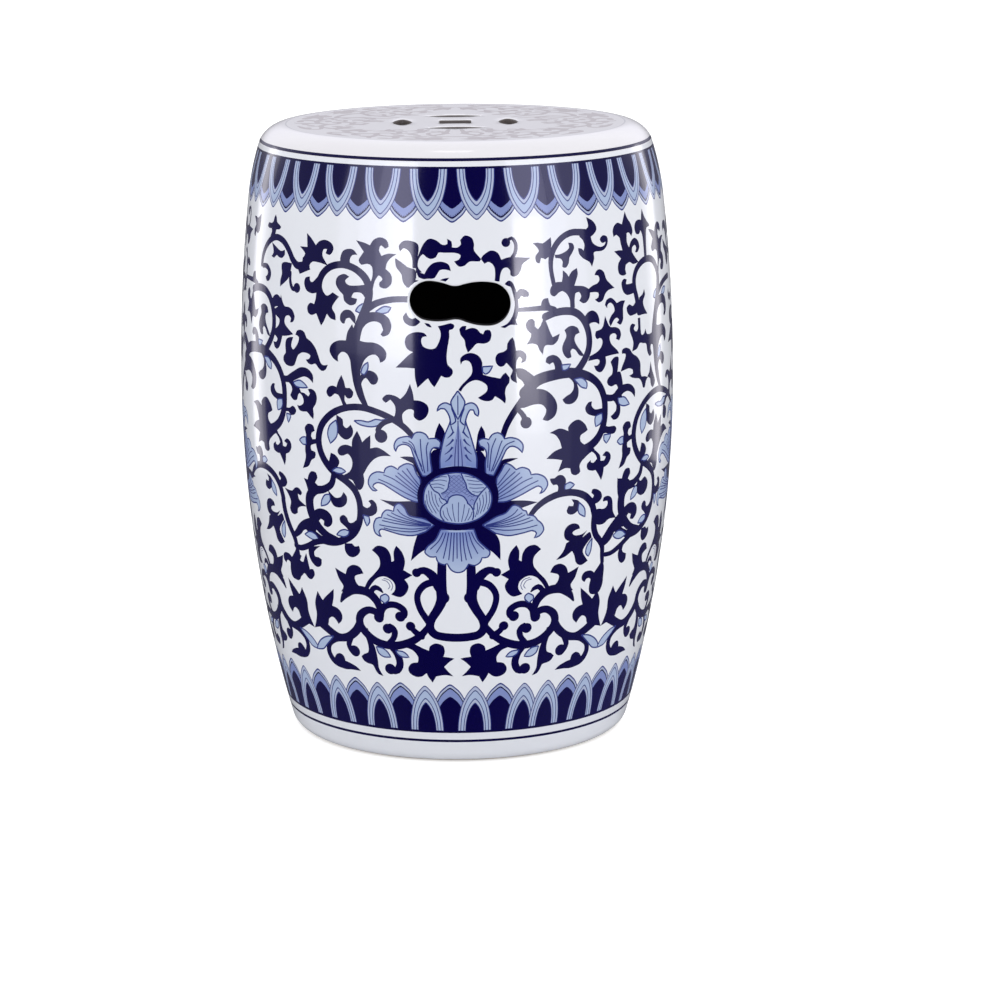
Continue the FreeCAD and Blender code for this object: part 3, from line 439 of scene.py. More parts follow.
# %% Flower
FLOWER = """
leaf -10.6,184 -10.4,194 -8.6,201 -5.6,204 .2,205 6,203.6 8.8,200 10.3,194 10.8,184 9.8,172 7,164.4 4.4,162.2
 0,161.4 -4.8,162.4 -7.4,165 -10,172
leaf -6.2,216! -5.6,226 -4.6,232.6! -3.2,226 -3.4,214!
leaf 4.4,214! 5,225 5.9,230.4! 6.9,225 6.6,214!
leaf -8,198! -7.8,206 -6.6,213.6 -5.4,215.4 -3.8,214! -4.2,200!
leaf 4,200! 4.4,213 6,213.6 7.6,206 8.6,198!
leaf -14.8,209.8! -12.8,210.4 -10.6,209 -8.6,200 -9.2,196 -10.8,202! -11.4,206!
leaf 15.4,208.4! 12.8,208.6 10.8,207 8.6,199 9.4,196 10.8,201 11.6,205!
leaf -20.5,181.4! -16.5,180.6 -9,182! -9,170.4! -12.6,172 -15.8,176
leaf 20.8,178.6! 16.4,180.6 9,181! 9,170! 12.4,171.2 15.4,174.8
leaf -5,168! -9.4,164 -11.4,154 -12.6,141.4! -10.4,146.4 -8.6,149.6! -6.2,154.6 -4.2,164!
leaf 5,168! 8.2,163 10.6,155 11,141.8! 9,147 7.6,149.6! 5.6,154 3.8,164!
petal -9,198! -10,203 -11.2,211 -12,216.5 -13.6,218.2 -15.2,216.6 -15.8,213.2! -16.2,217 -15.2,221.6
 -12.6,223.4 -11.6,222! -10.8,225.6 -9.4,226.4 -8,225 -7.3,222.2! -5.4,222.4 -4.3,219.8 -4.6,216.4! -6,216.6
 -6.9,213.6 -6.9,208 -6.6,202 -6.8,198!
vein -8.4,200 -9,208 -9.3,216 -9.4,222 / -7.6,201 -7.7,209 -7.9,216 -7.4,220 / -8.9,201 -10.2,210 -11.2,218
 -12.4,220.6 / -9.1,204 -10.6,212 -12,218.2 -14,219.6
petal 7,199! 6.9,206 7.2,212.6 6.6,216 5.6,217.4! 5.2,220.6 6.4,222.2 7.8,221.4! 8.6,224.4 10,225.6 11.2,224
 11.8,221.4! 13.4,222 15.4,220.4 16.6,216.6 16.4,211.8! 15.4,214.6 13.8,216.4 12.4,214.8 11,208 9,198!
vein 7.9,201 8.2,209 8.6,216 9.6,222 / 8.4,200.6 9.6,209 10.6,217 11.2,220.4 / 7.5,203 7.6,211 7.8,217.4
 7.4,219.6 / 8.8,201 10.4,209 12,217 14.4,219.6
petal -9.6,196! -10.6,200 -11.4,204.8 -13.2,205.6 -15,203 -15.3,201.6! -17,203.6 -18.6,201.8 -19,199!
 -21,199.2 -22.8,196.4 -23.4,191 -22.2,186.8 -21,187! -22.2,189.4 -21.2,192 -19.4,191.6 -16.6,187.6
 -13.6,183.4 -10.6,180.8 -9,182!
vein -9.8,184 -12.4,188.6 -16.4,195 -19.2,197.6 / -9.8,187.6 -12.4,193.4 -15.4,199.6 / -9.8,191.6 -11.4,196.6
 -13,202.6 / -9.9,182.6 -13.4,186.4 -17.6,191.8 -20.6,194.6 / -9.8,189.6 -12,195.4 -14.2,201 / -9.8,185.8
 -12.6,191 -16,197.6
petal 9.8,196! 11,201 12,205.2 13.4,204.2 14.8,201! 16.4,202.2 18.2,200.4 18.8,197! 20.6,197 22.6,194.4
 23.4,189.6 22.4,185.4 21.2,184! 21.9,187 20.8,189.2 18.8,187.4 16,184 12.4,180.6 9.4,180.6!
vein 10,183 13,187 16.6,192.6 19.2,195 / 10,187 13,193 15.8,198.8 / 10,191.6 11.6,196.6 13.2,202 / 10,181.8
 14,185 18,190 20.8,192.8 / 10,189.4 12.2,194.8 14.6,199.8 / 10,185 13,190 16.4,196
petal -6,166.4! -9,170 -12.6,171.6 -13.8,176.6 -15.2,179.4 -16.4,177.6 -16.8,174! -18.6,174.6 -19.8,172
 -20.1,169.4! -21.6,168.4 -22.4,163.6 -22,158.6 -20.4,156.4! -21,159.6 -20.2,161.6 -18.2,160.6 -15,158.8
 -11.6,158.6 -8.4,161.4!
vein -7,166.4 -11,168.6 -14.4,172 -15.8,175.6 / -7,165.8 -11.4,166.8 -16,169.2 -18.6,171.6 / -7,165.2
 -11.6,165 -16.4,166 -20,167.4 / -7.4,164.4 -11.8,162.8 -16.6,163.2 -20.8,164.4 / -7,166.2 -11.2,167.8
 -15.4,170.8 -17.4,173 / -7,165.4 -11.6,166 -16.4,167.8 -19.6,169.2 / -7.8,163.6 -12,161 -16.8,161.4
 -19.6,162.6
petal 6.2,165.6! 9.6,170.6 12.2,173 14,177.6 15.6,176.8 16.8,174! 17.6,173.4 18,170.6! 19.8,169.6 20.8,166.6!
 22,164 22.6,159.8 21.4,156 20,155! 20.6,158 19.4,160 16.6,158.8 13,157.8 9.6,159.8!
vein 7,165.4 11,168 14,171.4 15.4,175 / 7,165 11.2,166 15,168.4 17.4,171 / 7,164.6 11.6,163.8 16,164.8
 19.6,167 / 7.4,163.8 11.8,161.6 16.6,161.6 20.8,163.4 / 7,165.2 11,167 14.6,169.8 16.6,172.4 / 7,164.8
 11.4,164.8 15.6,166.6 18.8,168.8
petal -4.6,163! -6,156 -8,151.6 -8.8,147.6 -7.4,144.6 -5.9,144.8! -5.4,141.2 -3.8,139.4 -3,140.2! -2,136
 -.4,134.2 1.4,135.4 2.6,139.8! 4.2,138.8 5.6,140.8 6.1,143.8! 7.6,144.2 8.2,147.6 6.6,151.6 5,156 4,163!
vein -3.9,161 -5.2,155 -7.4,149.6 / -3.2,161 -4.2,154 -5.8,147.4 / -2.5,161 -3.2,152 -4,143.6 / -1.8,161
 -2.2,151 -2.6,142.6 / -1.1,161 -1.3,151 -1.5,141.6 / -.4,161 -.4,151 -.4,143.6 / .4,161 .5,151 .8,141.6 /
 1.1,161 1.4,151 2,142.4 / 1.8,161 2.4,152 3.4,143.4 / 2.6,161 3.5,154 5,146.6 / 3.3,161 4.5,155 6.6,149.4
petal -4.5,203! -4.5,210 -4,217 -3.2,225 -2.1,231.5 -1.6,236 -1,239 .2,240 1.2,239 1.8,236 2.2,231.5 3.1,225
 4,217 4.7,210 4.7,203!
shade -1.7,203.4! -1.6,209 -1.2,216 -.5,224 .1,233! .8,224 1.6,216 2,209 2.1,203.4!
vein .1,204 .1,218 .1,234
line -.8,204:.6 -.7,212 -.3,222:.4 / 1.1,204:.6 1,212 .6,222:.4 / -1.9,233:.4 -1.5,229:.8 -1,226 / 2.1,233:.4
 1.7,229:.8 1.2,226 / -1,227:1.3 -1.7,224.6:.9 -2.6,222.6:.4 / -1.1,222:1.4 -1.9,219.4:.9 -3,217.4:.4 /
 -1.3,217:1.4 -2.1,214.4:.9 -3.3,212.2:.4 / -1.5,212:1.4 -2.2,209.4:.9 -3.2,207.4:.4 / 1.3,227:1.3 2,224.6:.9
 2.8,222.6:.4 / 1.5,222:1.4 2.2,219.4:.9 3.2,217.4:.4 / 1.7,217:1.4 2.4,214.4:.9 3.5,212.2:.4 / 1.9,212:1.4
 2.5,209.4:.9 3.4,207.4:.4
petal -1.4,243.6! -2.7,245.3 -3.7,245 -4.6,243.4 -5,241.4 -5.1,240! -4.2,241.7 -3.3,241.6 -2.6,239.6 -2,236.3
 -1.7,231.4! -.5,233.4 -.9,238.2 -1.4,241.4
petal 1.6,243.6! 3,245.2 4.1,244.8 4.9,242.7 5.3,239.5 5.1,236.6! 4.3,238.2 4,240.6 3.2,240.8 2.6,238.6
 2.1,235 1.8,231! .7,233.4 1.1,238.2 1.6,241.4
petal .1,253! -1,249.1 -1.65,245.9 -1.4,242.7 -.75,238.9 .1,234.6! .9,238.9 1.6,242.7 1.85,245.9 1.2,249.1
vein .1,250 .1,244 .1,237.6
leaf -10.4,183 -9.9,191 -8,198 -4.8,202.8 .2,204.6 5,202.4 8.6,196.6 10.1,189 10.2,181 9,173.6 5.8,166 0,162.4
 -5.6,165 -9,172.4
tint -8.8,184 -8.3,190 -7,194.4 -4.6,198.4 -1,200.3 2,199.6 4.7,196.6 7.4,190.8 8.5,184.6 8.2,178 7,173.4
 4.4,169 .4,166.8 -4,168.5 -7,173.2 -8.5,178.6
shade -2.4,199! -2,196 -2.4,191 -3.4,187.6 -4.5,186.4! -3.4,182.6 -2.8,180.6! -2.2,184 -.8,186 .8,185.8
 1.8,183.4 2.5,180! 3.7,178.8 4.6,182.4 4.9,185! 3.4,186.4 2.2,190 1.6,195 1,199.4!
line -7.3,194:.9 -6.8,191 -6,188.4 -4.9,186.8 -4.2,183.6 -3.2,182.4 -2.8,180.2 / 7.3,190.8:.9 6.1,187.8
 5.2,185 4.6,182.4 4,179 4,176 / -2.6,199.6:.8 -2.1,196.4 -2.4,193 -2.6,190 -3.4,187.8 -4.3,186.8 /
 .8,199.8:.8 1.4,196 2,193 2.2,190 3,187.4 4.2,185.2 5.2,185 / -2.8,180.2:.9 -2.3,183.8 -1.2,185.6 .2,185.8
 1.4,184.6 2.2,181.8 2.5,179.8 / 2.3,180.4:.9 3.2,178.4 3.8,175.4 3.9,172 3.6,169.2 / -2.8,180.6:.9 -4,178.6
 -4.6,175.2 -4.4,171.4 -3.6,168.8 / -6.8,192.6:.5 -5,193 -3.4,191.8 / -6.8,194.6:.5 -4.6,195.6 -2.8,194.8 /
 -5.6,196.8:.5 -4,197.8 -2.8,197.6 / -6.2,190.6:.5 -4.8,190.8 -3.6,189.6 / 1.7,198.2:.5 3.2,197.4 4.2,196.8 /
 2.2,195.6:.5 4,194.8 5.4,194.4 / 2.6,193:.5 4.4,192.4 6.2,192.2 / 2.8,190.4:.5 4.4,190 6.6,190.2 / 3.6,188:.5
 4.8,187.4 6,187.8 / -8.4,182:.5 -8,177 -7.2,174 / -8,186:.5 -7.8,180 -6.6,174 / -7.5,188.6:.5 -7.1,180.6
 -5.6,173.6 / -6.8,188:.5 -6.3,181 -5,174.8 / -5.9,186.4:.5 -5.5,181 -4.9,178 / -4.8,184:.5 -4.6,181.6 -4,180
 / 7.8,188:.5 8,182 7.4,176 / 7,187.6:.5 7.2,181 6.4,174.6 / 6.2,185.6:.5 6.4,180 5.6,173.4 / 5.4,183.6:.5
 5.6,179 4.9,172.6 / 4.8,180.6:.5 4.9,176 4.3,171 / 0,168:.5 0,175 .1,181 / -.8,168:.5 -1.3,174 -1.5,180 /
 .8,168:.5 1.3,174 1.6,179.6 / -1.6,168.4:.5 -2.5,173 -2.9,177.6 / 1.6,168.4:.5 2.4,173 2.8,177 / -2.6,169:.5
 -3.6,172 -3.9,175.6 / 2.4,169:.5 3.2,172 3.5,174.6 / -2.2,198.6!:.35 -1.6,197.3! -1,198.6! -.4,197.3!
 .2,198.6! .8,197.3! / -2.2,196!:.35 -1.6,197.3! -1,196! -.4,197.3! .2,196! .8,197.3! 1.2,196! / -2.2,196!:.35
 -1.6,194.7! -1,196! -.4,194.7! .2,196! .8,194.7! 1.4,196! / -2.2,193.4!:.35 -1.6,194.7! -1,193.4! -.4,194.7!
 .2,193.4! .8,194.7! 1.4,193.4! 1.8,194.7! / -2.2,193.4!:.35 -1.6,192.1! -1,193.4! -.4,192.1! .2,193.4!
 .8,192.1! 1.4,193.4! 2,192.1! / -2.5,190.8!:.35 -1.6,192.1! -1,190.8! -.4,192.1! .2,190.8! .8,192.1!
 1.4,190.8! 2,192.1! / -2.5,190.8!:.35 -1.8,189.5! -1,190.8! -.4,189.5! .2,190.8! .8,189.5! 1.4,190.8!
 2.2,189.5! / -3.2,188.4!:.35 -2.5,189.5! -1.8,188.2! -1.1,189.5! -.4,188.2! .3,189.5! .9,188.2! 1.6,189.5!
 2.3,188.2! / -3.8,187.2!:.35 -3.2,188.4! -2.5,187! -1.8,188.2! -1.1,187! -.4,188.2! .3,187! .9,188.2!
 1.6,187! 2.3,188.2! 3,187! / -4,186!:.35 -3.2,187.2! -2.7,185.7! -2.2,187! / 1.6,187!:.35 2.2,185.7! 2.9,187!
 3.5,185.6! 4.2,186.4! / -3.4,184!:.35 -2.9,185.4! -2.4,184.2! / 2.4,184.4!:.35 3,185.6! 3.5,184.2! 4.2,185.2!
 / 3,181.6!:.35 3.4,183! 4,181.8!
"""
flower_marks = marks(FLOWER)
print("marks in one flower:", len(flower_marks))

# %% [markdown]
# ## The free scroll above
#
# Beside and above the flower the vine wanders freely, and left and right differ. It is drawn in seven
# parts. Those that stand close to a flower come back beside the flowers on the stool's left and right,
# a little higher or lower, as a painter who works by eye would put them. Two single leaves come back as
# well, where the sides have room for them.

# %% Scroll left of the flower
LEFT_RING = """
vine -10.5,221:3.4 -13.2,228.5:4 -16.5,234:4.2 -20.5,238 -25,240.3:4.4 -29.5,239 -33.5,234.5:4.6 -36.6,227:4.8
 -37.9,218.5:5 -37.7,210.5 -36.2,203 -33.5,196.5:5.2 -30,191.5:5 -27.6,186.5:4.6 -26.3,180:4.4 -26,172:4.5
 -26.6,164:4.6 -28.3,157:4.8 -31.2,152:5 -34.5,149.2 -38,149.2 -41,152 -43.5,156:5.5
leaf -32.2,234! -30.3,231.5 -30.2,227.8 -29.2,226 -28,228.6! -27.3,225 -27.7,221 -29.4,218.4 -31.2,220.5
 -32.2,225
tint -32.3,230.5! -34.3,226.5 -35,220.5 -34.2,214.8! -32.3,219.5 -31.9,225.5
tint -27,231.3! -25.2,229 -22,228.3 -19.5,230.5 -17.8,234! -19.5,233 -21,233.3 -23,231.3 -25,231.8
vine -16.5,233.5:3 -19,231:3.4 -20.4,226.5:3.6 -19.6,222.6:4o8.6
leaf -30.5,195! -28.6,198 -27.8,202.5 -28,206.5 -29,209.3 -30.2,208 -31.5,207.8 -32.1,210.5 -31.2,213.8
 -29.5,215.2 -27.8,214.4! -27.6,219 -26.2,225! -25.3,221 -24.8,217.8! -23.7,220.5 -22.5,222.8! -22.5,218
 -22.6,214.2! -20.7,215.2 -18.8,213.2 -17,210! -19.5,209.7 -21.5,207.5 -23.2,203 -24.7,196.8! -24.5,192
 -25.2,187.5 -26.3,186.2 -27.2,189 -28,192.3 -29.5,193!
leaf -35.5,199! -34.8,203.5 -34.2,208.8! -32.6,207.3 -31.6,203.5 -32.4,199.5 -34,196.5!
tint -34,197! -32.8,199.2 -31,199.3 -29.8,197.5! -31.2,195.8 -32.8,196
leaf -38.2,217! -40,215.8 -40.5,217.5! -40.3,219.8 -39.2,221.5! -39.8,225 -41.5,225.5 -42.7,222.5 -42.3,218
 -42.6,213 -42.8,208 -42.7,203 -43.9,195.5! -41.8,197.5 -40.6,202 -39.4,203.8 -39.2,207.5 -40.5,208.2!
 -40.7,211.5 -38.5,213.5!
tint -44.8,213.8! -43.7,216 -42.4,216.5! -42.3,211.8! -43.5,211.3
vine -33.5,194.5:4 -34.4,188:4.5 -37,183.8:5 -40,182:6 -42,177:7 -42,168 -40.2,159.5:6.5 -37.2,153.5:5.5
 -33.5,150.5:5
leaf -43.8,189! -43,185 -42.5,181! -40,181.5 -38.6,184.6 -39.8,187.3! -38.9,190.6! -39.3,194 -41,194.4
 -42,191.6 -42.4,188.5!
leaf -35.6,184! -34.6,181.5 -33.2,179.3 -31.6,180.5 -30.8,183.8! -29.8,181 -30,176.5 -31.6,173.4 -33.8,173.5
 -35,177.5
tint -35.2,181! -36.8,180 -37.9,176 -38.2,172.3! -36.2,174 -35,177.5
leaf -41,168! -39,170.4 -36.6,170 -34.9,166.5 -34.9,161.5 -36.4,158.6 -37.8,159.6! -37.5,162.3! -38.6,163.5
 -39.6,160.8 -40.5,158!
leaf -26.6,168! -28.3,164.2 -29.6,164 -30,166.7! -31,168.6 -32.3,166.8 -32.2,163.4 -30.5,160.3 -29.3,156.5!
tint -33.7,154.5! -32.5,157.5 -30.9,158.8 -29.7,158! -30,155.5 -31.5,153.8
leaf -26.3,178! -25.4,176.5 -24,174.8 -22.9,177.2 -23.6,179.5! -22.6,180.7 -21.4,178 -21.3,172.8 -22.8,169.8
 -24.7,169.5 -25.8,171.5!
tint -25.3,170! -24.9,166 -24.3,162.8! -23.5,165.5 -23.6,169.3!
leaf -31.3,149.5! -31.4,145 -30.6,141.6 -29.2,140.6 -27.6,142.4 -26.7,145.6 -27,149! -28.2,148.2 -29,150!
"""
LEFT_CROWN = """
leaf -17.2,232.5! -15.9,236.5 -15.8,242.5 -17,246.5! -18.2,244.3! -19.2,246.5 -18,249.6 -15.9,249.2
 -14.4,247.2! -13,251 -11.9,257.2! -11.2,251.5 -10.9,246.7! -9.3,246.4 -7.6,244 -7.2,240 -8,235.8 -9.6,233.7
 -11,236.2 -11,240.2 -12.4,240.8 -13.9,237.5 -13.6,231.5 -12.5,228.5!
tint -26.6,301.5! -25.8,304.5 -24.4,306.6! -24.2,303.5 -24.8,300!
leaf -22.8,318! -22,324 -22.2,330 -23.5,331.6 -25.2,330.8 -26,333.5 -25.2,337 -24.6,339! -26.9,345.9!
 -24.5,344.7 -22.9,343.3! -21.9,346.8 -20.1,348.6 -18.3,347 -17.7,343 -18.7,341.6! -19.8,343.6 -20.3,340.5
 -19.6,337! -17.8,338.6 -15.5,338.4! -17,336 -18.1,332.5 -18.4,329! -16.9,325.5 -16.8,320 -18.3,316.7
 -20,317.8 -20,320.5! -19.2,322.5 -20.2,324.7 -21.3,321 -21.8,316!
leaf -11.3,330! -11.4,336 -12.3,340.6 -13.6,342.3 -14.6,340.3! -15,343.5 -13.8,346.8 -11.8,347 -10,345.2
 -9.7,341.5 -10,336 -10.2,330!
leaf -15.9,336! -14.2,333.6 -12.4,330.4 -10.6,329 -10.3,324 -11.3,319.8 -12.8,318.4 -13.8,321.5 -14.2,326
 -15.6,330.5
leaf -10.4,327! -10.3,334 -9.5,340 -8.4,345.5 -7,348.5 -5.2,347.6 -3.6,344.8 -2.3,345.3 -2.4,348.5! -1.2,346.8
 -1.1,343.2! 0.2,343 1.2,345 1,347.5! 2.2,350.5 4,349 4.6,345 4.6,341 6.4,335.6! 6,334.2 3.4,334.2 2.2,331.8
 0.6,331.2 -0.6,334.5! 0.6,335.5 1.1,338.2 -0.3,339.7 -3,339.8 -4.6,339.8 -5.2,337 -6.6,335.9 -7.8,337.2
 -8.6,338.8 -9.6,336 -9.9,331 -8.8,327.5!
leaf -10.2,328! -8.2,326.5! -7.4,330 -6,333.3 -3.8,334.3 -2,332.5 -1.4,328.4! -2.7,329.3 -4.2,329 -5,326
 -5.6,324! -7.5,323 -9.7,324.5
leaf -5.2,321.5! -3.5,323.6 -1.8,324.3! -2.8,321.8 -4,321!
vine -23.3,303.5:5 -20.5,307.5:4.2 -17,309.8:4 -13.6,310.5 -12.4,310.4
tint -21,301.8! -18.8,305.3 -16.9,305! -17.6,302 -19.5,300.8
leaf -24.6,300! -22,301.5 -19.3,301 -17.4,298 -16.7,293 -17.4,288 -19,286.4 -19.6,287.6! -18.9,290.5!
 -19.6,294.5 -21.3,295.7 -23.3,294 -24.8,289.5 -25.6,285!
leaf -26.2,283.5! -24,282.3 -21.3,282.2 -19.2,280 -18,276 -18.4,271.5 -19.7,269.7! -20,272.5 -21,274.6
 -22.5,273.9 -24,270.5 -25,264.5 -25.8,259 -26.8,268!
leaf -25.4,259! -24.6,262.3 -22.8,264.4 -21,263 -20.2,259.5 -20.8,256 -22,255.5 -22.8,257.6! -23.6,259.5
 -24.6,257 -25,253!
tint -25,262.5! -24.3,267 -23,269.5! -23,265.5 -24,261.5
leaf -4.8,293.9! -3.4,294.7 -1.5,295.8 -0.6,294.2 -1.1,292 -1.9,291.4 -1.9,287 -2.4,280 -2.6,273.5 -2.3,269.4
 -1.3,267 -1.1,264.2 -1.9,261.7 -3.1,261.5 -4,262.6! -4.8,259 -5.7,255.3! -6.5,257.4 -7.3,260.8! -8.2,259
 -10,254.6! -10.6,261 -10.7,267! -12.8,267.3 -15.6,267.1! -14,271 -12.4,275 -11.1,277.3! -12.5,279 -13.2,283
 -12.8,287 -11.4,289.4 -9.7,290.1 -8.2,289.4 -7.5,287.4! -8.6,287 -9,284.6 -8.6,281.3 -7.2,279.6 -5.6,279.9
 -4.7,283 -4.1,287.5 -4.2,291
leaf -12.8,302.3! -13.7,299.6 -13.3,296 -11.9,293.8 -10.4,293.9 -9.2,296.4! -10.2,299.4! -11.3,298.2
 -12.3,299.6
leaf -8.2,295.8! -7,295.4 -6.3,293.1! -7.4,293.6
leaf -13,318! -12.2,320.6 -10.8,322.6 -9.6,322.3! -11.2,320.4 -12.2,317.6!
"""
LEFT_OUTER = """
leaf -30.2,240.5! -30.9,244.5 -31.6,247 -32.6,247.5! -34.2,244.8 -35.2,247.5 -34.6,251.2 -33.2,252.6
 -32.1,251.8! -31.6,255.5 -30.6,260! -29.8,256 -29.3,252 -28.2,252.2 -27.1,249.5 -27.6,246 -28.8,245.3
 -29.6,247.3! -29.6,243.5 -28.7,240.5!
vine -23.5,241:3 -25,248:4.8 -26,256:5.5 -26.4,264:6.5 -26.6,270:7 -27,276:8 -26.6,284:7 -25.6,292:6
 -24.3,299:6.5 -23.2,307:5.5 -22.8,315:5 -24,322.5 -27,328:4.6 -30.8,330:4.5 -34.6,327.8:4.6 -37.2,322:4.8
 -38,315:5 -37.3,309:6
leaf -23.8,318.5! -26.5,317.5 -28.8,317.5 -29.8,320 -28.6,322.8! -30.2,324.3 -32.2,322 -32.6,317.5 -31.5,313.5
 -30.3,311 -30,307.5 -28.3,304.8 -26.6,306 -26.2,309.2! -27.8,309.8! -27.2,312.8 -25,313 -23.8,309.5!
leaf -38.8,312! -39,307 -39.5,303.2! -40.8,303.8 -41.8,301 -41.5,297.3 -40.2,296 -38.7,297.5! -37.9,294
 -37,290! -36,293.5 -35.2,298! -34,295.3 -32.4,294.5! -32.6,298.5 -33.6,302 -32.8,306 -31.5,309.6! -33.5,312!
 -35.3,309.5 -36.6,312!
leaf -38.5,321! -40.3,317 -41.2,318.2 -41.2,320.3! -42.7,319.5 -43.2,315.5 -42.3,311.3 -40.3,309.8 -38.3,311!
leaf -46,325! -44.3,329 -44.2,331.5! -43.3,334.5 -45.4,338.6! -42.6,338.8! -43,347.6! -41.2,344.5 -39.6,340.6!
 -38.6,343.2 -36.5,344.6 -34.4,342.8 -33.7,339 -34.8,335.3 -36.2,336.2! -35.8,338.8! -36.9,338.5 -37.2,334.5
 -36,330.5 -35.3,328.5! -38,329.8 -40.5,329.9 -41.5,327.3 -41.2,324.7! -43,323 -45,321!
leaf -31.3,329.5! -31.5,334 -30.8,338.5 -29.2,340.2 -27.6,339.8 -26.4,336.8! -27.8,336.5 -28.6,333.5
 -28.2,329.8!
leaf -26.6,293! -26.6,298 -28,301.6 -29.8,301.5 -31,298.5 -31,294.5 -30.2,292.8! -29.7,293! -29.3,296
 -28.2,296.8 -27.6,295.3!
leaf -27.5,293! -28.8,288 -29.3,282.3! -31.6,281.8 -33.6,279 -34.2,274.5 -33,270 -31.5,268.2! -31.6,271.8
 -30.4,274.8 -28.9,273.8 -27.9,269 -27.2,262 -26,275 -26.5,287!
leaf -39.6,228.9! -40.7,230.8 -41.8,233.2 -43.2,232.8 -44.6,233.6 -45.3,236.6! -44.6,236.2 -43.4,237.4
 -42.9,239.6 -43.4,243 -44.9,245.4! -42.6,245 -41.2,243.4 -40.7,245.2 -41.4,247.9! -40.2,248.6 -38.9,247.2
 -38.3,243.4 -38.7,239.2 -39.6,236 -39.4,232.4
leaf -50,251! -48,249.4 -47.2,246 -48,242! -46.8,239.4 -45.4,239.8 -44.8,243.6 -43.8,245.4! -44.8,249
 -46.4,251.5!
leaf -51.2,254.5! -49.4,254.2 -47,257.6 -44,261.4 -41.4,261.2 -39.6,257.4 -39.6,252.2! -40.7,254.6 -42.6,255.8
 -45.2,253.4 -47.6,250.6 -50.6,249.6!
tint -46.8,250.8! -44.5,252.9 -42.8,251.6 -41.4,249! -43.6,248.2 -45.7,248.6
leaf -50,233.4! -48.4,233.6 -46.9,235.4 -45.7,233 -46.2,230.2 -47.7,229 -48.8,231 -50,230.6!
tint -49.6,229.6! -47.9,229 -48.3,226 -48.9,223.8! -49.4,226.5
leaf -52,179.4! -50,178.6 -48.6,178.8 -47.6,181 -46.1,181.6 -44.8,178.6 -45.6,176.6! -46.4,177.4 -46.2,174
 -44.8,171.8 -43.2,170! -45.4,169.4 -46.9,167.4 -47,164.6! -48.3,162.8 -49.6,163.4 -50.2,166.4 -49.6,171
 -50.5,175.6
leaf -34.7,265.6! -35.5,262 -36.7,261.1 -37.8,262.8 -38.8,265.2 -40,264.2 -41.2,264.8 -42.1,267! -41,267.6
 -40.5,270 -41.8,271.2 -43.5,271 -44.9,268.8 -45.6,265.4 -46.3,262 -47.7,260.8 -49.6,261.4 -50.7,263.8
 -50.6,267 -49.8,269 -50,273.9 -49.6,277.8 -48.2,279.6 -46.8,280! -47.4,276.4 -47.5,273.9 -46.8,272
 -45.9,273.9 -44.9,277.3 -44.7,280.7 -46,281.8! -45.4,284.6 -44,285.6 -42.6,284.2 -41.9,281 -40.3,279
 -38.7,275 -37.7,270 -37,266.2 -36.1,264.9
leaf -52.4,305.9! -51.7,302.3 -50.6,298.9 -48.9,298.8 -47.3,297.2 -46.4,293.2 -47,289.8 -48.2,289.1! -47.9,292
 -49,293.4 -50.2,292 -50.4,288 -48.8,284.8 -46.8,281.8! -49.1,280.2 -51.3,279.4! -51.7,276.2 -52.4,272.4
 -53.5,270.2 -54.7,271.1 -55.4,274.6! -54.1,274.6 -53.5,276.8 -54.8,279 -57.2,278.8! -56.3,280.8 -54.2,283.6
 -52.9,286.6 -52.8,289.8 -54.2,291.6 -55.4,293.4! -54.9,296 -53.8,297.4 -52.9,299.6
vine -63,322:3.4 -62.6,328:3.8 -61,334.5:4 -58.6,339.4:4.2 -55.5,341.8 -52.3,340:4.4 -49.8,335 -48,329.5:4.6
 -46,326.2:5 -43.5,327
leaf -60.9,347.4! -60.4,350 -58.8,350 -57.9,351.5 -57.6,353.8 -57,356! -56.3,353.8 -56,351.4 -55,350.2
 -53.9,348.6 -54.8,346.8 -56.2,346.4 -56.6,343 -59,341 -58.4,344.6 -58.6,346.6 -59.8,346.4
leaf -58,338! -56,336 -53.4,333.6 -51.6,334.8! -51.4,331.8 -52.6,329.2 -54.2,329.4 -55.2,330.4 -56.4,328.2
 -57.8,329! -56.9,331.4 -57.2,334.6
leaf -50.6,327.2! -51.6,326.9 -52.6,325.6 -52.6,322.4 -52.3,319.4 -52.9,315 -52.9,310.8! -51.4,313.2
 -49.8,316.2 -49,318.6 -48.6,322 -48.2,327!
vine -48.6,321:2.2 -48.6,315.5:2.6 -47.6,311:3 -45.9,311.9:3.4o6.4
leaf -62.5,323! -60,323.6 -58.2,321 -57.5,317 -58.4,313 -59.8,312.4 -60.5,315! -59.5,316.4 -59.4,319 -61,320.4
 -62.5,319.8!
vine -53,171:4.8 -52.6,164 -51.8,158 -50.8,153:4.6 -49.6,148:4.4 -48.9,143:4 -48.6,138:3.6 -48.2,134:3
leaf -42.5,163! -45,160.5 -47,157 -48.4,153 -49.8,149 -48.4,147.5! -46.4,150.5 -45.2,153.4 -43.4,154.6
 -41,153.6 -40.2,157!
tint -45,150.8! -43.1,153.4 -41,152.4 -39.9,149.2! -42.1,148.4
vine -35,149:4 -38.5,148.6 -41.5,146.6 -44,143.4 -47,140.8 -49.2,141.5:3.6
leaf -44,143! -44.2,138 -43.4,133 -41.6,130 -39.9,131.6 -39.5,135.8! -40.6,137 -41.8,137 -42,140 -40.8,142.8
 -39.4,145!
leaf -50.7,118.6! -50,124 -50.4,129.5 -49.8,134.2 -48.4,136.6 -47.2,135! -48.2,132.4 -46.9,131.2 -46.1,134.5
 -45.2,138! -44.7,131 -44.4,127.2! -43.1,127.8 -42.7,124.2 -44.2,120.4 -45.7,121.2 -46.8,123.6 -48.4,120.6
"""
left_marks = marks(LEFT_RING) + marks(LEFT_CROWN)
left_outer_marks = marks(LEFT_OUTER)
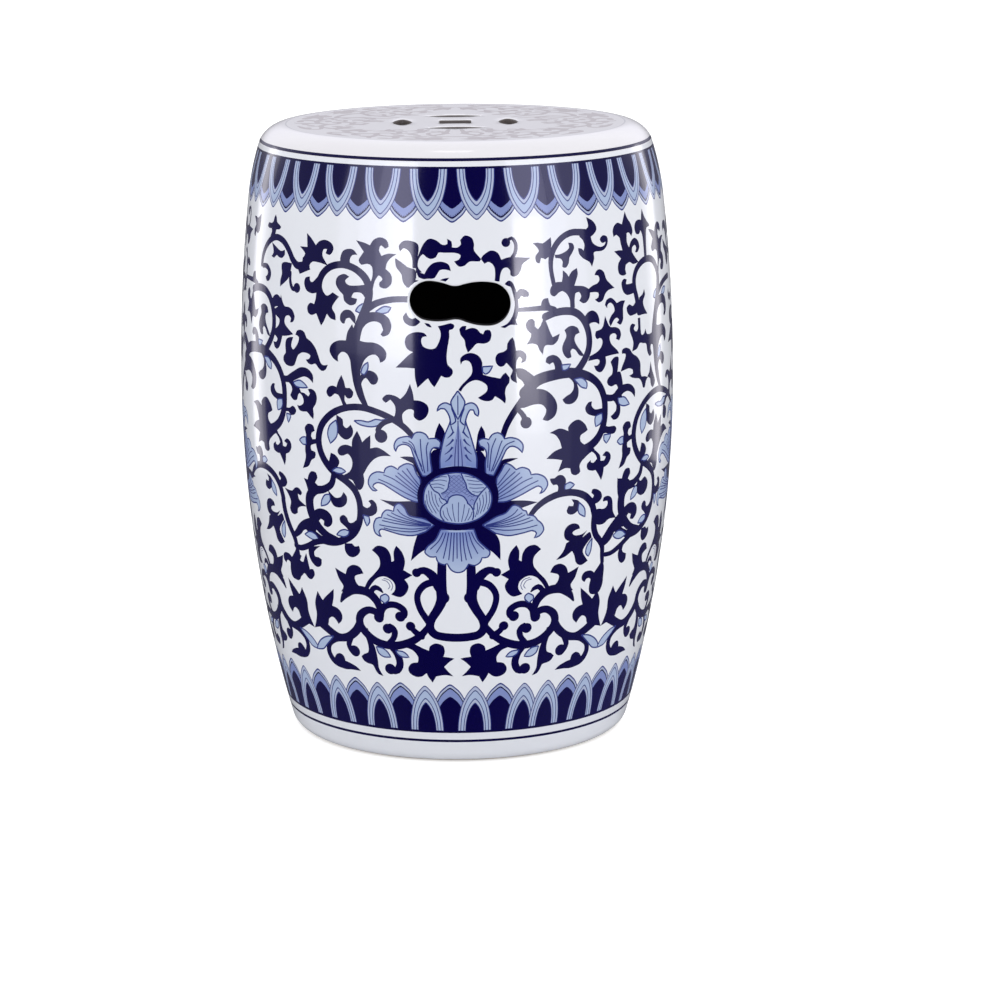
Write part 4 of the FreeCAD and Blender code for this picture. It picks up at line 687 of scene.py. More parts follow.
upper_marks = left_marks + moved(left_marks, by=90, up=-3) + left_outer_marks
print("marks left of the flower:", len(left_marks) + len(left_outer_marks))

# %% Scroll right of the flower
RIGHT_RING = """
vine 11.2,222:3.6 12.2,229.5:4 13.9,237:4.2 16,244:4.6 18,249.6:6
vine 17.2,250:8 20.5,257.5:7.4 26,260.4:7 31,260:6.4 35.5,256.4:5.4 38.6,250.2:5 40.3,242 40.7,233
 40.2,224:5.2 38.6,216.5:5.6 36,211.5:6 33,208.5:7
leaf 16,247! 18,252 22,251.5 24.6,247 25.9,240.5 25.3,234 23.2,231 21.8,232.2! 22.6,235.4! 22.8,238.5
 21.6,241.8 19.4,242.2 17,240.6! 15.2,240.5!
vine 15,240.6:3 16.6,236:3.4 17.4,231:4o7.6
leaf 29,258! 30.6,254 30.6,249.5 29.6,246.8! 28.6,245.8 27.4,243.8! 28.2,240.9 30.2,240.4 31.8,243.4
 32.2,248.6 31.7,254 32.5,258!
tint 30.8,256! 33.2,256.2 34.8,252.5 34.6,249! 33,250.4 31.8,253.4
leaf 39.4,229.6! 37,230.4 34.8,232.8 34.2,236.6 35.3,240 36.4,240! 36.2,237.6 37.2,234.8 39.4,234.6 40.4,235!
tint 39.6,231.5! 37.6,230.2 37.3,226.5 37.6,223.4! 39,224.6 39.8,228
leaf 37.4,208.5! 36,211.6 34.2,212.6 32.8,215.4 32.8,219 34.2,220.8! 35,222! 34.2,226 32.2,229.6 30.2,228.4
 29,225.2 29.1,223! 26.6,225.3 23.7,223! 25.3,221.5 26.6,217.2 27.2,212.4! 25,210.6 22.9,206.4! 25.4,205.6
 27.4,204.4! 26.2,197! 28.3,199 29.8,198.4! 30.2,194.8 31.6,193.4 32.9,195.4 32.6,198.8 33.2,202 35.4,206.2!
leaf 35.6,208.6! 37.4,205.6 38.2,202.2! 37,199.8 36.2,200.4 36.2,202! 34.9,199.6 35.2,196 37,194.6 37.8,194.8!
 38.8,191.4 39.8,187.4! 40.4,191.4 40.6,195.6! 42,197 43,200.8 42.6,204.4 41.2,206 40,203.6! 41.2,202.4!
 40.6,200.2 39.4,200.4! 39.2,204 37.8,207.4 36.6,209.6!
leaf 6.3,335.6! 6.9,338 8.9,340.8 10.7,339.2 11.6,334.8! 12.8,335.8 14.2,336.3 16.5,335.8 19.4,335.2!
 17.2,331.5 16.8,328.5 16,325.2 14.9,323.9 13.9,325 13.9,327.5! 13.2,329.7 12,329.3 11.3,326 11,321.3!
 9.7,321.3! 9.9,326 9.7,330.5 8.9,333 8,333.7 7.2,332.6!
vine 12.9,345.4:2o5.7 14.4,348:2.2 15.5,344.5:2.4 15.3,339 14.2,335
leaf 12.3,319.5! 13.2,321.6 14.3,320.5 15.3,315 15.8,308 15.7,301 15,296.6! 15.5,293.3! 13.6,293.8 12.2,292
 11,292.8! 12.6,294.4 13.7,297.3 14.5,301.5 14.85,307 14.5,312.6 13.8,317.7 13,318.4
leaf 15.4,314! 16.2,316 17.4,315.8 18.6,313.6 18.5,311 17.2,310.9 16.6,311.8! 15.8,309.5
leaf 0.6,292! 1.3,293.9 2.4,294! 2.2,291.6! 3.8,292.8 5.1,291.8 5.8,289.6! 6.6,288.6! 7.1,291 8.3,291 8.7,288
 8.2,284 6.8,282.6 5,282.8 3.9,280 2.7,277.1! 2.1,281.5 1.9,285 0.9,288.5
leaf 5.1,248.4! 6.3,250.2 7.4,252.6 7.4,256 6,258.7 4.4,259.6 2.8,258 1.5,255 0.9,252.4! 0.2,253.6! 1.2,257
 2.4,260 3.6,263.7 3.7,268 3.1,271.4 2,272.3 1.3,271.5! 0.9,269.5! 0.8,273.5 2,276.2 3.8,276.9 5.5,274.7
 6.3,270.5 6.2,266.5 6.5,263! 8.5,261.5 10.8,260.2! 11.5,262.6 12.2,263.8! 13.2,260.5! 13.1,257.3 12.3,254.5
 12,250.5 12.2,247 12,244! 10.8,246.8 9.4,249! 8.7,246.6 7.3,246 5.8,247.1
tint 6.3,268! 8.9,268.3! 8,264.5 7,263.3 6.4,264.5
leaf 9.6,273.3 10.3,276.2 11.7,277 12.6,278.6! 12.7,281.9 13.4,284.6 14.1,286! 14.6,283 14.8,279.6 15,277.4!
 16.3,277.4 17.6,274.6 17.4,270.4 16.2,269.2! 16.5,271.8 15.9,273.4 15.2,271.5 14.9,268 14.9,262 15.1,256.6!
 13.7,258.8 13.4,261.4 14,264.8 13.1,268 12.4,270! 11.8,268.2 10.8,267.6 9.9,269.6
leaf 14.8,266! 16.6,265.8 18.4,262.8 20,258.5 18,253 17,251! 17.1,254.5 16.4,258 15.2,260.6
leaf 20.1,344.2! 21.6,344.3 22.9,343.6 24,345 25.3,347! 25.4,342.5 24.9,336 23.5,333.5! 22.3,334.6 21.9,331.4
 20.9,332.4 20.8,336.2 21.8,338.8 21.2,341.6
vine 15.6,303:2.6 19,303:3 23.5,303:3.6 25.5,301.5:4
leaf 21.8,303! 22,306.5 22.6,308.8 23.9,309.2! 24.2,306 25,302.5!
vine 23,297.5:5 25.5,299.4:4.8 28.5,300:5 31.3,298.8 33.6,294.8:4.8 35.2,288:4.6 35.8,280 35.2,272:4.8
 33,264:5 30.5,258.5
leaf 34.2,294! 35.4,297.2 37,298.4 38.5,296.4 39.3,292.2 39.2,288.8! 38,290.5 36.6,290.6 35.4,289!
leaf 28.3,288! 29.4,289.8 30.8,290.2 32.3,288.4 32.8,285.2! 31.6,284.2 31.2,281.6 31.7,278 33,273.8 34.2,270!
 32.6,270.8 31.4,274.6 30.4,275.6 29.9,274! 30.2,270.4! 29.1,269.7 28,272.2 27.5,276.2 27.9,279.8 28.8,284
leaf 19.4,296.8! 18.3,296.2 17.6,293.2 18,289.8 19,287.4 18.7,284.2 17.7,280.6! 19.3,281.2 20.6,280 21.1,277
 22.1,273.6! 22.5,278.4 23.4,279.6 24.9,279.2 26.3,281.8 26.9,286! 25.8,285 24.9,284.2! 24.2,287.6 23.6,291.5
 22.6,296.5 21.6,292 20.9,290! 20,292.2 20.1,294.8
leaf 22.8,268.6! 23.1,271.6 24.8,273 26.4,271.2 27.4,267 27.3,261! 25.3,261! 25.3,265.5 24.8,268.2 23.9,267!
tint 27.3,266! 29.9,266! 29,263 27.6,262.6
leaf 24.3,190.6! 24,193.2 25.3,193.2 26.2,194.8 27.6,194.6 28.6,191.5 28.6,187 29.2,181.5! 26,181.5!
 26.4,186.5 26,188.8 25,188.6!
tint 28.4,188! 29.8,189.4 31.2,187.4! 30,185 28.4,184.6
vine 18.8,170.2:3.4 20.6,175.4:4 23.4,179.8:4.4 27,182.4:4.6 31,182.2 34.6,178.8:4.8 37,172.6 38.1,165
leaf 30.4,178! 32.6,176.4 33.2,173.4 32.6,169.8 31,167.6 29.6,168.4 29.1,170.8 29.7,173.8! 31,173.2
 31.2,175.2!
tint 32.9,175! 34.4,171.6 34.9,168.4 34.9,164.8! 33,167.6 32.6,171
leaf 34,150! 31.4,149.4 29.2,151.4 28.6,156 29.4,160 31.2,161.6 33,160.2 33.5,157.4! 32,156.8 31.2,155.2
 32,153.4 34.2,153.4 36,155.6!
leaf 35.4,177.6! 37.2,176.6 37.6,178 36.7,180! 37,182.4 38.4,182 39.9,179.6 40.4,176.2 39.4,173.2 37.6,172!
leaf 26.6,138.4! 28.6,143.6 29.4,148.8! 31.5,151 34.2,151 36.8,154 37.6,150! 36,146.4 34.9,141.4 36.8,134.6!
 34.6,132.4 32.9,134.6 32.2,139.6 31.4,143! 29,139.6
tint 37.8,149.5! 36.2,145 35.9,140 36.9,137.6! 37.6,141.5
leaf 42,134! 41.2,130.6 39.4,125.6! 38.2,127.4 36.2,127.4 35.2,125 35.3,122 36.3,120.2! 37,122.4 38.3,121.6
 38,116.5 38.6,111.5 41.4,110.5 42.9,115.5 43,122.5 42.9,128.5
"""
RIGHT_OUTER = """
leaf 40.6,243.6! 43.4,242.4 45.2,245.4 47.4,247.4 50.4,246.6 52.4,242.2 52.3,237.2! 51,240.6 49.2,242.5
 47.4,241.6 46,239 43.4,238 40.6,238.6!
leaf 42.8,239.6! 44,237.5 44.8,234.5 44.6,231.3! 43.6,229.5 42.7,228.3! 43.6,225.8 45.2,226 46.2,229 46.3,234
 45.6,238.6 46,241!
tint 45.4,239.4! 47.8,239.2 49.2,236.2 50,233.6! 47.6,233.4 45.8,235.4
leaf 40.4,223.6! 41.8,222 43,221.8 44.2,221.6 44.9,219.4 44.2,216.9 42.6,216.7 41,218 40,217.6!
tint 40.4,217! 42.7,216.6 42.2,213.4 41.3,211.3! 40.4,213.6
vine 25.6,318:3 25,327 25.2,334.5:3.6 26.4,341:4 28.7,346.3 31.8,348.9:4.2 36,348:4.4
leaf 36.6,357.6! 38.4,355.4 39.6,352.4 39.9,349 38.9,346.4 37.8,344.9! 38.1,341.8 39,339.6 40.8,337.8
 42.3,338.5 42.9,340.6! 41.6,340 40.8,342.6 42,344.9 43.5,343.6 43.7,340.6 43,337.3 41.4,335.2 38.6,335
 38.5,331 37.6,325.9! 36.8,329.2 34.8,332 33.6,335.2 33.4,338.7! 34.5,338.2 35.1,336.8! 35.5,340 35,343.6
 34,346.5 36.4,350.2 37.1,352
leaf 26.2,336! 27.5,335.9 29.3,337.2 30.6,339.5 30.4,342.7! 31.7,342.2 32.2,339.3 31.4,335.8 30.6,333.4
 30.3,330 29.4,327.2 28.3,328 28.5,331 27.9,333.2 26.4,333.8!
leaf 36,312.2! 37.6,314.2 39,315 39.9,317.2 39.5,319.9 38.3,320.4! 38.9,322.9 40.1,323.9 41.6,321.6 42.3,317
 43.6,313.8 45.2,310.5! 42.9,309.7 41.6,307.3 40.8,304 39.4,302.8 38,305! 39.2,306.2 39.3,309 37.9,309.8
 36,309.8!
leaf 41.4,300.6! 42,303.6 43.6,304.7 45,302.6 45.8,300.6! 47.5,301.6 49.2,301.2! 48.3,297.8 48.1,293.2
 48,289.3 46.9,286.3 45.5,288.2! 46.4,289.8 45.7,291.2 44.6,290.4 43.2,286.4! 42.6,289.6 43.6,293.4 44.8,296
 44.4,299.8 43.3,301.6 42.3,300.4 42.2,298.2!
leaf 46.5,256! 47.2,259.5 48.3,263.6 48.6,266.8 47.2,267.4! 47.2,269.8 48.6,270.9 50.4,269.4 51.6,266
 53.6,263.2 55,259 55.1,253 55.6,249.6 57,249.2 58.9,247.8! 57.8,245.8 57.2,242 56.2,242 55.6,245.6 54.4,248.6
 52.8,249.4 51,250.6 50,252.2! 51.6,253.2 51.5,255.4 50,257 48.2,256.6
leaf 41.4,251 42,253.8 43.2,255.4 43.5,259 42.8,263.6! 44.2,266.2 45.8,265.6 45.6,260 45.3,256.4! 46.4,256
 47,252 47.4,247! 46.9,243 47,239! 45.2,240! 45.5,244 44.8,248.3 43.1,247.6 41.8,249
leaf 38,168.4! 39.4,168.6 41.2,167.8 42.4,169.6 42.4,172.6 40.8,172.8! 41,175.4 42.6,176 44,173.8 44.5,169.4
 44.8,164.6 46.2,159.8! 43.4,160.2 41.6,157.8 39.7,157.6 38.5,159.4 37.8,163!
leaf 45.8,186.4! 45.9,180 46.4,174.2 47.6,170.4 48.4,171 48.2,174.6! 49.4,176.6 51.6,176.8 54,178 54.8,181.4
 55.6,187! 55.4,181.6 56.4,180! 58.2,182 59.4,180 59.6,175 58,171.2 56,170.9 54.8,172.8 54.6,176! 53.6,178.2
vine 38.1,165:4.8 38.1,157 39,151:4.6 40.6,146.5:4.4 41.6,142:4 41.8,136:3.6 42.1,131.5:3.2
leaf 47.5,163! 45.4,159 43.6,155 42.2,151 40.4,146! 42,142.5 44.4,145.4 45.6,149.4 47,152.6 49.6,152.4
 50.5,155!
tint 45.4,148! 47.4,150.6 49.4,149.4 50.8,146.6! 48.8,144.9 46.8,145.6
vine 56,147:4.2 53.4,145.6:4 51,142.8 48,139 45,136.4:3.4 42,136.5:3
leaf 50.6,143! 48.6,138 48.2,133.4 49,129.2 50.4,127.2 51.8,129 51.9,133.2! 50.6,134.4 49.9,136.6 50.4,139.8
 52,142.5!
leaf 51.5,357.6! 52.4,353 53.8,349 54.4,344.4 53.6,341! 52.6,343.8 51.6,343.6! 51.4,338 52.2,334.4! 53.2,338
 55,339.7 56.6,337.6 57.2,333.4 56,330.2 54.8,330.6! 55.5,333 54.9,335.2 53.6,333.8 53.4,331! 54.6,327.6
 56.2,323.8! 53.6,323.2 52,325 50.3,323.8! 49.9,321 50.2,318 48.9,317.2 47.3,318.8 46.9,322.8 47.4,326.2
 48.4,328.2! 47.2,330.8 45.8,333.6! 47.6,333.8 49.2,333.4! 48.7,337.6 48.4,341.4! 47.2,343.8 46,342.6!
 45.8,346.6 46.5,349.6 48,351.3 49.8,349.8! 50.6,353.6
leaf 60.2,357! 61.2,352 62.5,348.5 64,345 62,344 61.4,340 61,333 60.8,324! 59.4,324! 59.4,333 59.2,340
 58.4,343.6! 57.6,341.5 56,342 55.4,346 56.2,349.6 57.8,350.6 59.2,350! 59.6,353.5
vine 66.5,238:3 65,245:4.8 64,253:5.5 63.6,261:6.5 63.4,267:7 63,273:8 63.4,281:7 64.4,289:6 65.7,296:6.5
 66.8,304:5.5 67.2,312:5 66,318.5 64,322.8:4.6 61,324.4:4.4 57.8,323.4:4.3 55,319.6 53.6,314 53.5,308
 54.2,302:4.6 54.8,296:5 55,292
leaf 49.6,296.4! 50.8,298.2 52.4,296.6 53.8,298.6 54.2,292 52.5,290.8 50.9,290.8 49.8,293.4
leaf 48,313 49.2,315.2 50.3,314.2! 49.9,311.6 51.5,311.2 53.4,311 53.4,305.5 51.5,304.4 49.8,304.6 48.4,307.6
leaf 55.5,301! 57.2,302.6 58.2,305.6! 58.6,302 57.4,298 57.8,294 59.4,289.2! 57,289.6 55.2,289.4!
leaf 50.6,281 50.9,284.2 52,285.4 53.2,284! 52.4,282 53.2,279.8 54.3,281 54.4,288! 55.6,288! 55.6,280 56,276.6
 57.2,277 58.1,280! 58.6,276.6 60.1,275.6 63,276 63,268 61,268.6 60.6,266 61.2,262.4 59.9,261.2 58.7,264.8
 58.2,269.8 56.4,271 55,271.6 53.6,268.4 51.4,267.4! 52,272.8 51.4,277
leaf 60.4,257.6! 61.2,252 62,248.6 63,243.5 61.6,240 60.4,242.5 60,246.5 58.6,248.4 59.6,250.8
"""
HANGING_LEAF = """
leaf 41.3,293.8! 42,289.8 43,286.2 45,285.4 46.5,283.4 47,279.6 46.2,276.4! 45,277.8! 45.2,280 44.4,281.6
 43,281 42.7,278.4 43.4,274.6 45.4,270.4 46,268! 43.4,268 41.1,267.6! 41.2,263.4 40.4,259.8 39.2,258
 37.8,259.6 37.1,263! 38.3,262.8 39,265 38.3,266.8 35.2,266.4! 35.8,269.4! 38.3,271.6 39.8,274.8 40.1,278.4
 39.3,280.2 38.3,279.6 37.7,282.2 38,284.8! 39.3,285.4 40.4,287
"""
MAPLE_LEAF = """
leaf 28.4,325.8! 29.5,323.6 30.1,321.4! 31,324.4 32.7,326.4! 32.9,322.5 32.2,318 31.7,315.4! 33.2,315
 34.8,314.2 36.4,311.6 36.4,307.6 35.5,304.4 34.2,303.6 33,305.6! 33.7,308.2 33,311.2 31.9,310.4! 31.6,306.5
 31.6,301.5! 30.2,301.5! 30.1,307 29.1,311.2 28,312.8! 27,312 25.8,309.8 24.7,311 24.5,314 25.1,316.8
 26.2,318.6 28,318.6! 28.3,321.8
"""
right_marks, hanging_leaf, maple_leaf = marks(RIGHT_RING), marks(HANGING_LEAF), marks(MAPLE_LEAF)
upper_marks += right_marks + moved(right_marks, by=-91, up=7) + marks(RIGHT_OUTER)
upper_marks += hanging_leaf + moved(hanging_leaf, by=47, up=34)
upper_marks += maple_leaf + moved(maple_leaf, by=68, up=-4)
print("marks in the whole upper scroll:", len(upper_marks))

# %% [markdown]
# ## The two borders
#
# Lappets run round under the seat and above the foot: pale arches with fine lines and a dark heart, and
# between them the tips of others that lie behind. They are the same shape over and over, so one lappet is
# drawn by a function and repeated.

# %% One lappet
FRONT_ARCH = [(1.0, 0.0), (0.97, 0.2), (0.9, 0.38), (0.75, 0.6), (0.5, 0.8), (0.25, 0.925), (0.0, 1.0)]
BACK_ARCH = [(1.0, 0.0), (0.97, 0.25), (0.88, 0.45), (0.7, 0.66), (0.48, 0.83), (0.25, 0.93), (0.0, 1.0)]
SOFT_BAND = (SOFT, 5.55, 0.895)
TEETH_REACH = 3.4

# Each layer of a lappet: its paint, half its width in degrees, and its share of the whole height.
FRONT_LAYERS = [(FINE, 5.3, 1.0), (MIST, 5.05, 0.975), (FINE, 4.5, 0.91), (PALE, 4.25, 0.885),
                (FINE, 3.55, 0.73), (MIST, 3.3, 0.705), (FINE, 2.95, 0.635), (DARK, 2.75, 0.61)]
BACK_LAYERS = [(FINE, 6.4, 1.0), (MIST, 6.15, 0.968), (DARK, 5.8, 0.925), SOFT_BAND, (DARK, 5.0, 0.735)]


def arch(profile, middle, base, half_width, reach):
    """An outline that stands on the base line and narrows to its tip."""
    right = [(middle + half_width * share, base + reach * rise) for share, rise in profile]
    left = [(2 * middle - turn, height) for turn, height in right[-2::-1]]
    points = [np.array(point) for point in right + left]
    sharp = [i in (0, len(points) - 1) for i in range(len(points))]
    return smooth_line(points, sharp, closed=True)


def lappet(profile, layers, middle, base, tip):
    """A lappet, its widest layer first. The next ones leave only a rim of it uncovered."""
    return [(paint, arch(profile, middle, base, half_width, (tip - base) * share), True)
            for paint, half_width, share in layers]


def stipple(middle, base, tip):
    """Small dark teeth on the soft band of a lappet behind. Each points to the middle of the base line."""
    _, half_width, share = SOFT_BAND
    outline = arch(BACK_ARCH, middle, base, half_width, (tip - base) * share)
    foot = np.array((middle, base))
    teeth = []
    for before, point, after in zip(outline, outline[1:], outline[2:]):
        if abs(point[0] - middle) < TEETH_REACH:
            half_tooth = (after - before) * 0.15
            teeth.append((DARK, [point - half_tooth, point + half_tooth, point + (foot - point) * 0.04], True))
    return teeth


def stripe(low, high):
    """A dark stripe along the half of the wall that is painted at a time, and a little past it."""
    turns = np.linspace(-99, 99, 133)
    return (DARK, [np.array((turn, low)) for turn in turns] + [np.array((turn, high)) for turn in turns[::-1]],
            True)


print("layers of a lappet:", len(FRONT_LAYERS), "and, behind,", len(BACK_LAYERS))

# %% Lappet borders
IN_A_QUARTER = 7
TOP_BASE, TOP_TIP, TOP_TIP_BEHIND = 391.2, 359.9, 358.3
BOTTOM_BASE, BOTTOM_TIP, BOTTOM_TIP_BEHIND = 23.2, 55.6, 57.0
ROOM_BEHIND = 12

top_middles = [5.4 + k * 90 / IN_A_QUARTER for k in range(-8, 8)]
bottom_middles = [-97.5, -84.7, -69.9, -55, -40, -25.1, -10.3, 4.6, 19.5, 27.2, 41.2, 55, 68.7, 82.5, 95.3]
borders = []
for middle in top_middles:
    between = middle + 45 / IN_A_QUARTER
    borders += lappet(BACK_ARCH, BACK_LAYERS, between, TOP_BASE, TOP_TIP_BEHIND)
    borders += stipple(between, TOP_BASE, TOP_TIP_BEHIND)
for before, after in zip(bottom_middles, bottom_middles[1:]):
    if after - before > ROOM_BEHIND:
        borders += lappet(BACK_ARCH, BACK_LAYERS, (before + after) / 2, BOTTOM_BASE, BOTTOM_TIP_BEHIND)
for middle in top_middles:
    borders += lappet(FRONT_ARCH, FRONT_LAYERS, middle, TOP_BASE, TOP_TIP)
for middle in bottom_middles:
    borders += lappet(FRONT_ARCH, FRONT_LAYERS, middle, BOTTOM_BASE, BOTTOM_TIP)
borders += [stripe(TOP_BASE, 392.6), stripe(21.8, 23.6), stripe(FOOT_JOINT, 16.9)]
print("lappets in half a border:", len(top_middles), "above and", len(bottom_middles), "below")

# %% [markdown]
# ## From paper to clay
#
# The wall has to know which paint lies on each of its faces. One way is to test every point of a fine grid
# against the drawing, but the edges of the strokes would come out as stairs. Instead the unrolled wall is
# cut along every outline of the drawing, as stained glass is, with Blender's constrained Delaunay
# triangulation. Each triangle then lies wholly inside or outside each mark, and takes the paint of the
# last mark over it. Grid points between the strokes keep the triangles small, so that the wall stays round.

# %% Cutting a flat sheet along the drawing
HAIR, LONGEST_RUN = 0.03, 4.0
CUT_TOLERANCE = 1e-4


def thinned(outline, stretch):
    """The outline without the points that lie within a hair of a straight run."""
    kept = [outline[0]]
    for point, after in zip(outline[1:], outline[2:] + outline[:1]):
        run, step = (after - kept[-1]) * (stretch, 1), (point - kept[-1]) * (stretch, 1)
        length = math.hypot(*run)
        off = abs(run[0] * step[1] - run[1] * step[0]) / length if length > 1e-6 else 1.0
        if off > HAIR or math.hypot(*step) > LONGEST_RUN:
            kept.append(point)
    return kept


def covered(points, outline):
    """Which points an outline goes round, counting its turns about each of them."""
    across, up = points[:, 0], points[:, 1]
    turns = np.zeros(len(points), dtype=int)
    for start, end in zip(outline, outline[1:] + outline[:1]):
        side = (end[0] - start[0]) * (up - start[1]) - (across - start[0]) * (end[1] - start[1])
        turns += (start[1] <= up) & (end[1] > up) & (side > 0)
        turns -= (start[1] > up) & (end[1] <= up) & (side < 0)
    return turns != 0


def cut_sheet(drawn, frame_loop, holes, grid, stretch=1.0):
    """Cuts the sheet inside frame_loop along every mark. Gives its points, triangles and their paint."""
    points, edges = [], []
    for loop in [frame_loop] + holes + [thinned(outline, stretch) for _, outline, cut in drawn if cut]:
        first, count = len(points), len(loop)
        points += loop
        edges += [(first + i, first + (i + 1) % count) for i in range(count)]
    flat = [Vector((point[0] * stretch, point[1])) for point in points + grid]
    places, _, faces, _, _, _ = delaunay_2d_cdt(flat, edges, [], 0, CUT_TOLERANCE)
    places = np.array([(place[0] / stretch, place[1]) for place in places])
    faces = np.array([tuple(face) for face in faces])
    middles = places[faces].mean(axis=1)
    inside = covered(middles, frame_loop)
    for hole in holes:
        inside &= ~covered(middles, hole)
    faces, middles = faces[inside], middles[inside]
    paint = np.zeros(len(faces))
    for colour, outline, _ in drawn:
        ring = np.array(outline)
        near = np.flatnonzero(np.all((middles >= ring.min(axis=0)) & (middles <= ring.max(axis=0)), axis=1))
        paint[near[covered(middles[near], outline)]] = colour
    return places, faces, paint


square = [np.array(corner) for corner in ((0, 0), (4, 0), (4, 4), (0, 4))]
print("a square is cut into", len(cut_sheet([], square, [], [])[1]), "triangles")

# %% [markdown]
# ## The hand holes
#
# The two hand holes have the outline of a peanut: two round lobes with a waist between. They are cut
# straight through the leather-hard wall, front and back at once, and the potter's wet finger rounds their
# edges. The outline is made of arcs that touch each other, from the same sizes as the clay itself.

# %% Peanut outline
HOLE_HEIGHT = 308.5
RIM_ROUNDING = 1.5
LOBES = {"right": (np.array((18.6, -1.2)), 13.5), "left": (np.array((-18.6, 1.2)), 12.4)}
NECK_PLACE, NECK_REACH, NECK_RADIUS = -2.5, 10.35, 12.2
FLANK_RADIUS = 40.0


def touching_centre(lobe, lobe_radius, neck, above):
    """Centre of the flank arc that holds a lobe inside it and touches the neck's arc from outside."""
    near, far = FLANK_RADIUS - lobe_radius, FLANK_RADIUS + NECK_RADIUS
    span = neck - lobe
    distance = math.hypot(*span)
    along = (near ** 2 - far ** 2 + distance ** 2) / (2 * distance)
    aside = math.sqrt(near ** 2 - along ** 2)
    unit = span / distance
    choices = [lobe + unit * along + np.array((-unit[1], unit[0])) * aside * side for side in (1, -1)]
    return min(choices, key=lambda centre: centre[1] * above)


def peanut(offset=0.0, step=1.2):
    """The hole's outline as (across, height), grown outwards by an offset, counterclockwise."""
    line = []

    def arc(centre, radius, start, end, hollow=False):
        first, last = (math.atan2(*(point - centre)[::-1]) for point in (start, end))
        turn = (last - first) % (2 * math.pi) - (2 * math.pi if hollow else 0)
        grown = radius - offset if hollow else radius + offset
        count = max(2, round(abs(turn) * grown / step))
        for k in range(count):
            angle = first + turn * k / count
            line.append(centre + grown * np.array((math.cos(angle), math.sin(angle))))

    def touch(centre, other):
        away = other - centre
        return centre + away / math.hypot(*away) * FLANK_RADIUS

    necks = {above: np.array((NECK_PLACE, above * (NECK_REACH + NECK_RADIUS))) for above in (1, -1)}
    flanks = {(side, above): touching_centre(*LOBES[side], necks[above], above)
              for side in LOBES for above in necks}
    lobe_touch = {key: touch(centre, LOBES[key[0]][0]) for key, centre in flanks.items()}
    neck_touch = {key: touch(centre, necks[key[1]]) for key, centre in flanks.items()}
    for side, other, above in (("right", "left", 1), ("left", "right", -1)):
        arc(*LOBES[side], lobe_touch[side, -above], lobe_touch[side, above])
        arc(flanks[side, above], FLANK_RADIUS, lobe_touch[side, above], neck_touch[side, above])
        arc(necks[above], NECK_RADIUS, neck_touch[side, above], neck_touch[other, above], hollow=True)
        arc(flanks[other, above], FLANK_RADIUS, neck_touch[other, above], lobe_touch[other, above])
    return [point + np.array((0, HOLE_HEIGHT)) for point in line]


def unrolled(outline, facing, inward=0.0):
    """An outline seen from the front as (turn, height) on the front (1) or the back (-1) of the wall."""
    return [np.array((math.degrees(math.asin(across / wall_radius(height, inward))) * facing, height))
            for across, height in outline]


hand_hole = np.array(peanut())
print("hand hole:", np.round(hand_hole.max(axis=0) - hand_hole.min(axis=0), 1), "mm")

# %% [markdown]
# ## Painting the wall
#
# The drawing was measured from where the camera stands, which is a little left of the stool's front, so
# the whole drawing turns by that much. Half the wall is cut at a time, front and back, since the pattern
# repeats every half turn while the hand holes are mirror images of each other.

# %% The drawing on half the wall
DRAWING_TURN = -0.67

scroll = lower_marks + upper_marks
flowers = flower_marks + moved(flower_marks, by=90)
half_drawing = []
for layer, repeats in ((borders, (0,)), (scroll, (-180, 0, 180)), (flowers, (-180, 0, 180))):
    for by in repeats:
        for paint, outline, cut in moved(layer, by=by + DRAWING_TURN):
            turns = [point[0] for point in outline]
            if max(turns) > -90 and min(turns) < 90:
                half_drawing.append((paint, outline, cut))
print("marks on half the wall:", len(half_drawing))


# %% Two halves of the outer face
def sheet_frame(turn_step, height_step):
    """The border of half the unrolled wall, with points at even steps."""
    turns = np.linspace(-90, 90, round(180 / turn_step) + 1)
    heights = np.linspace(FOOT_JOINT, RIM_HEIGHT, round((RIM_HEIGHT - FOOT_JOINT) / height_step) + 1)
    return ([np.array((turn, FOOT_JOINT)) for turn in turns[:-1]] + [np.array((90, h)) for h in heights[:-1]]
            + [np.array((turn, RIM_HEIGHT)) for turn in turns[:0:-1]]
            + [np.array((-90, h)) for h in heights[:0:-1]])


def sheet_grid(turn_step, height_step):
    """Points inside half the unrolled wall, every other row shifted half a step."""
    rows = np.arange(FOOT_JOINT + height_step, RIM_HEIGHT - height_step / 2, height_step)
    return [np.array((turn + (turn_step / 2 if i % 2 else 0), height))
            for i, height in enumerate(rows)
            for turn in np.arange(-90 + turn_step, 90 - turn_step, turn_step)]


def half_wall(drawn, facing, hole, coarse=1):
    """The front half (1) or the back half (-1) of the wall as a cut sheet."""
    places, faces, paint = cut_sheet(drawn, sheet_frame(1.5 * coarse, 5.0 * coarse), [hole],
                                     sheet_grid(3.0 * coarse, 6.0 * coarse), MM_PER_DEGREE)
    return places + np.array((0 if facing == 1 else 180, 0)), faces, paint


halves = [half_wall(half_drawing, facing, unrolled(peanut(RIM_ROUNDING), facing)) for facing in (1, -1)]
print("triangles in the painted face:", sum(len(faces) for _, faces, _ in halves))

# %% [markdown]
# ## The wall as a solid
#
# The outer face alone would be a skin without thickness. Its hand-hole edges are extruded inwards in
# small steps round the rim and then straight through the wall, the inside gets a plain skin of its own,
# and the open edges that face each other are bridged. That gives one closed wall of clay.

# %% The outer face as a skin
SAME_PLACE = 2e-6


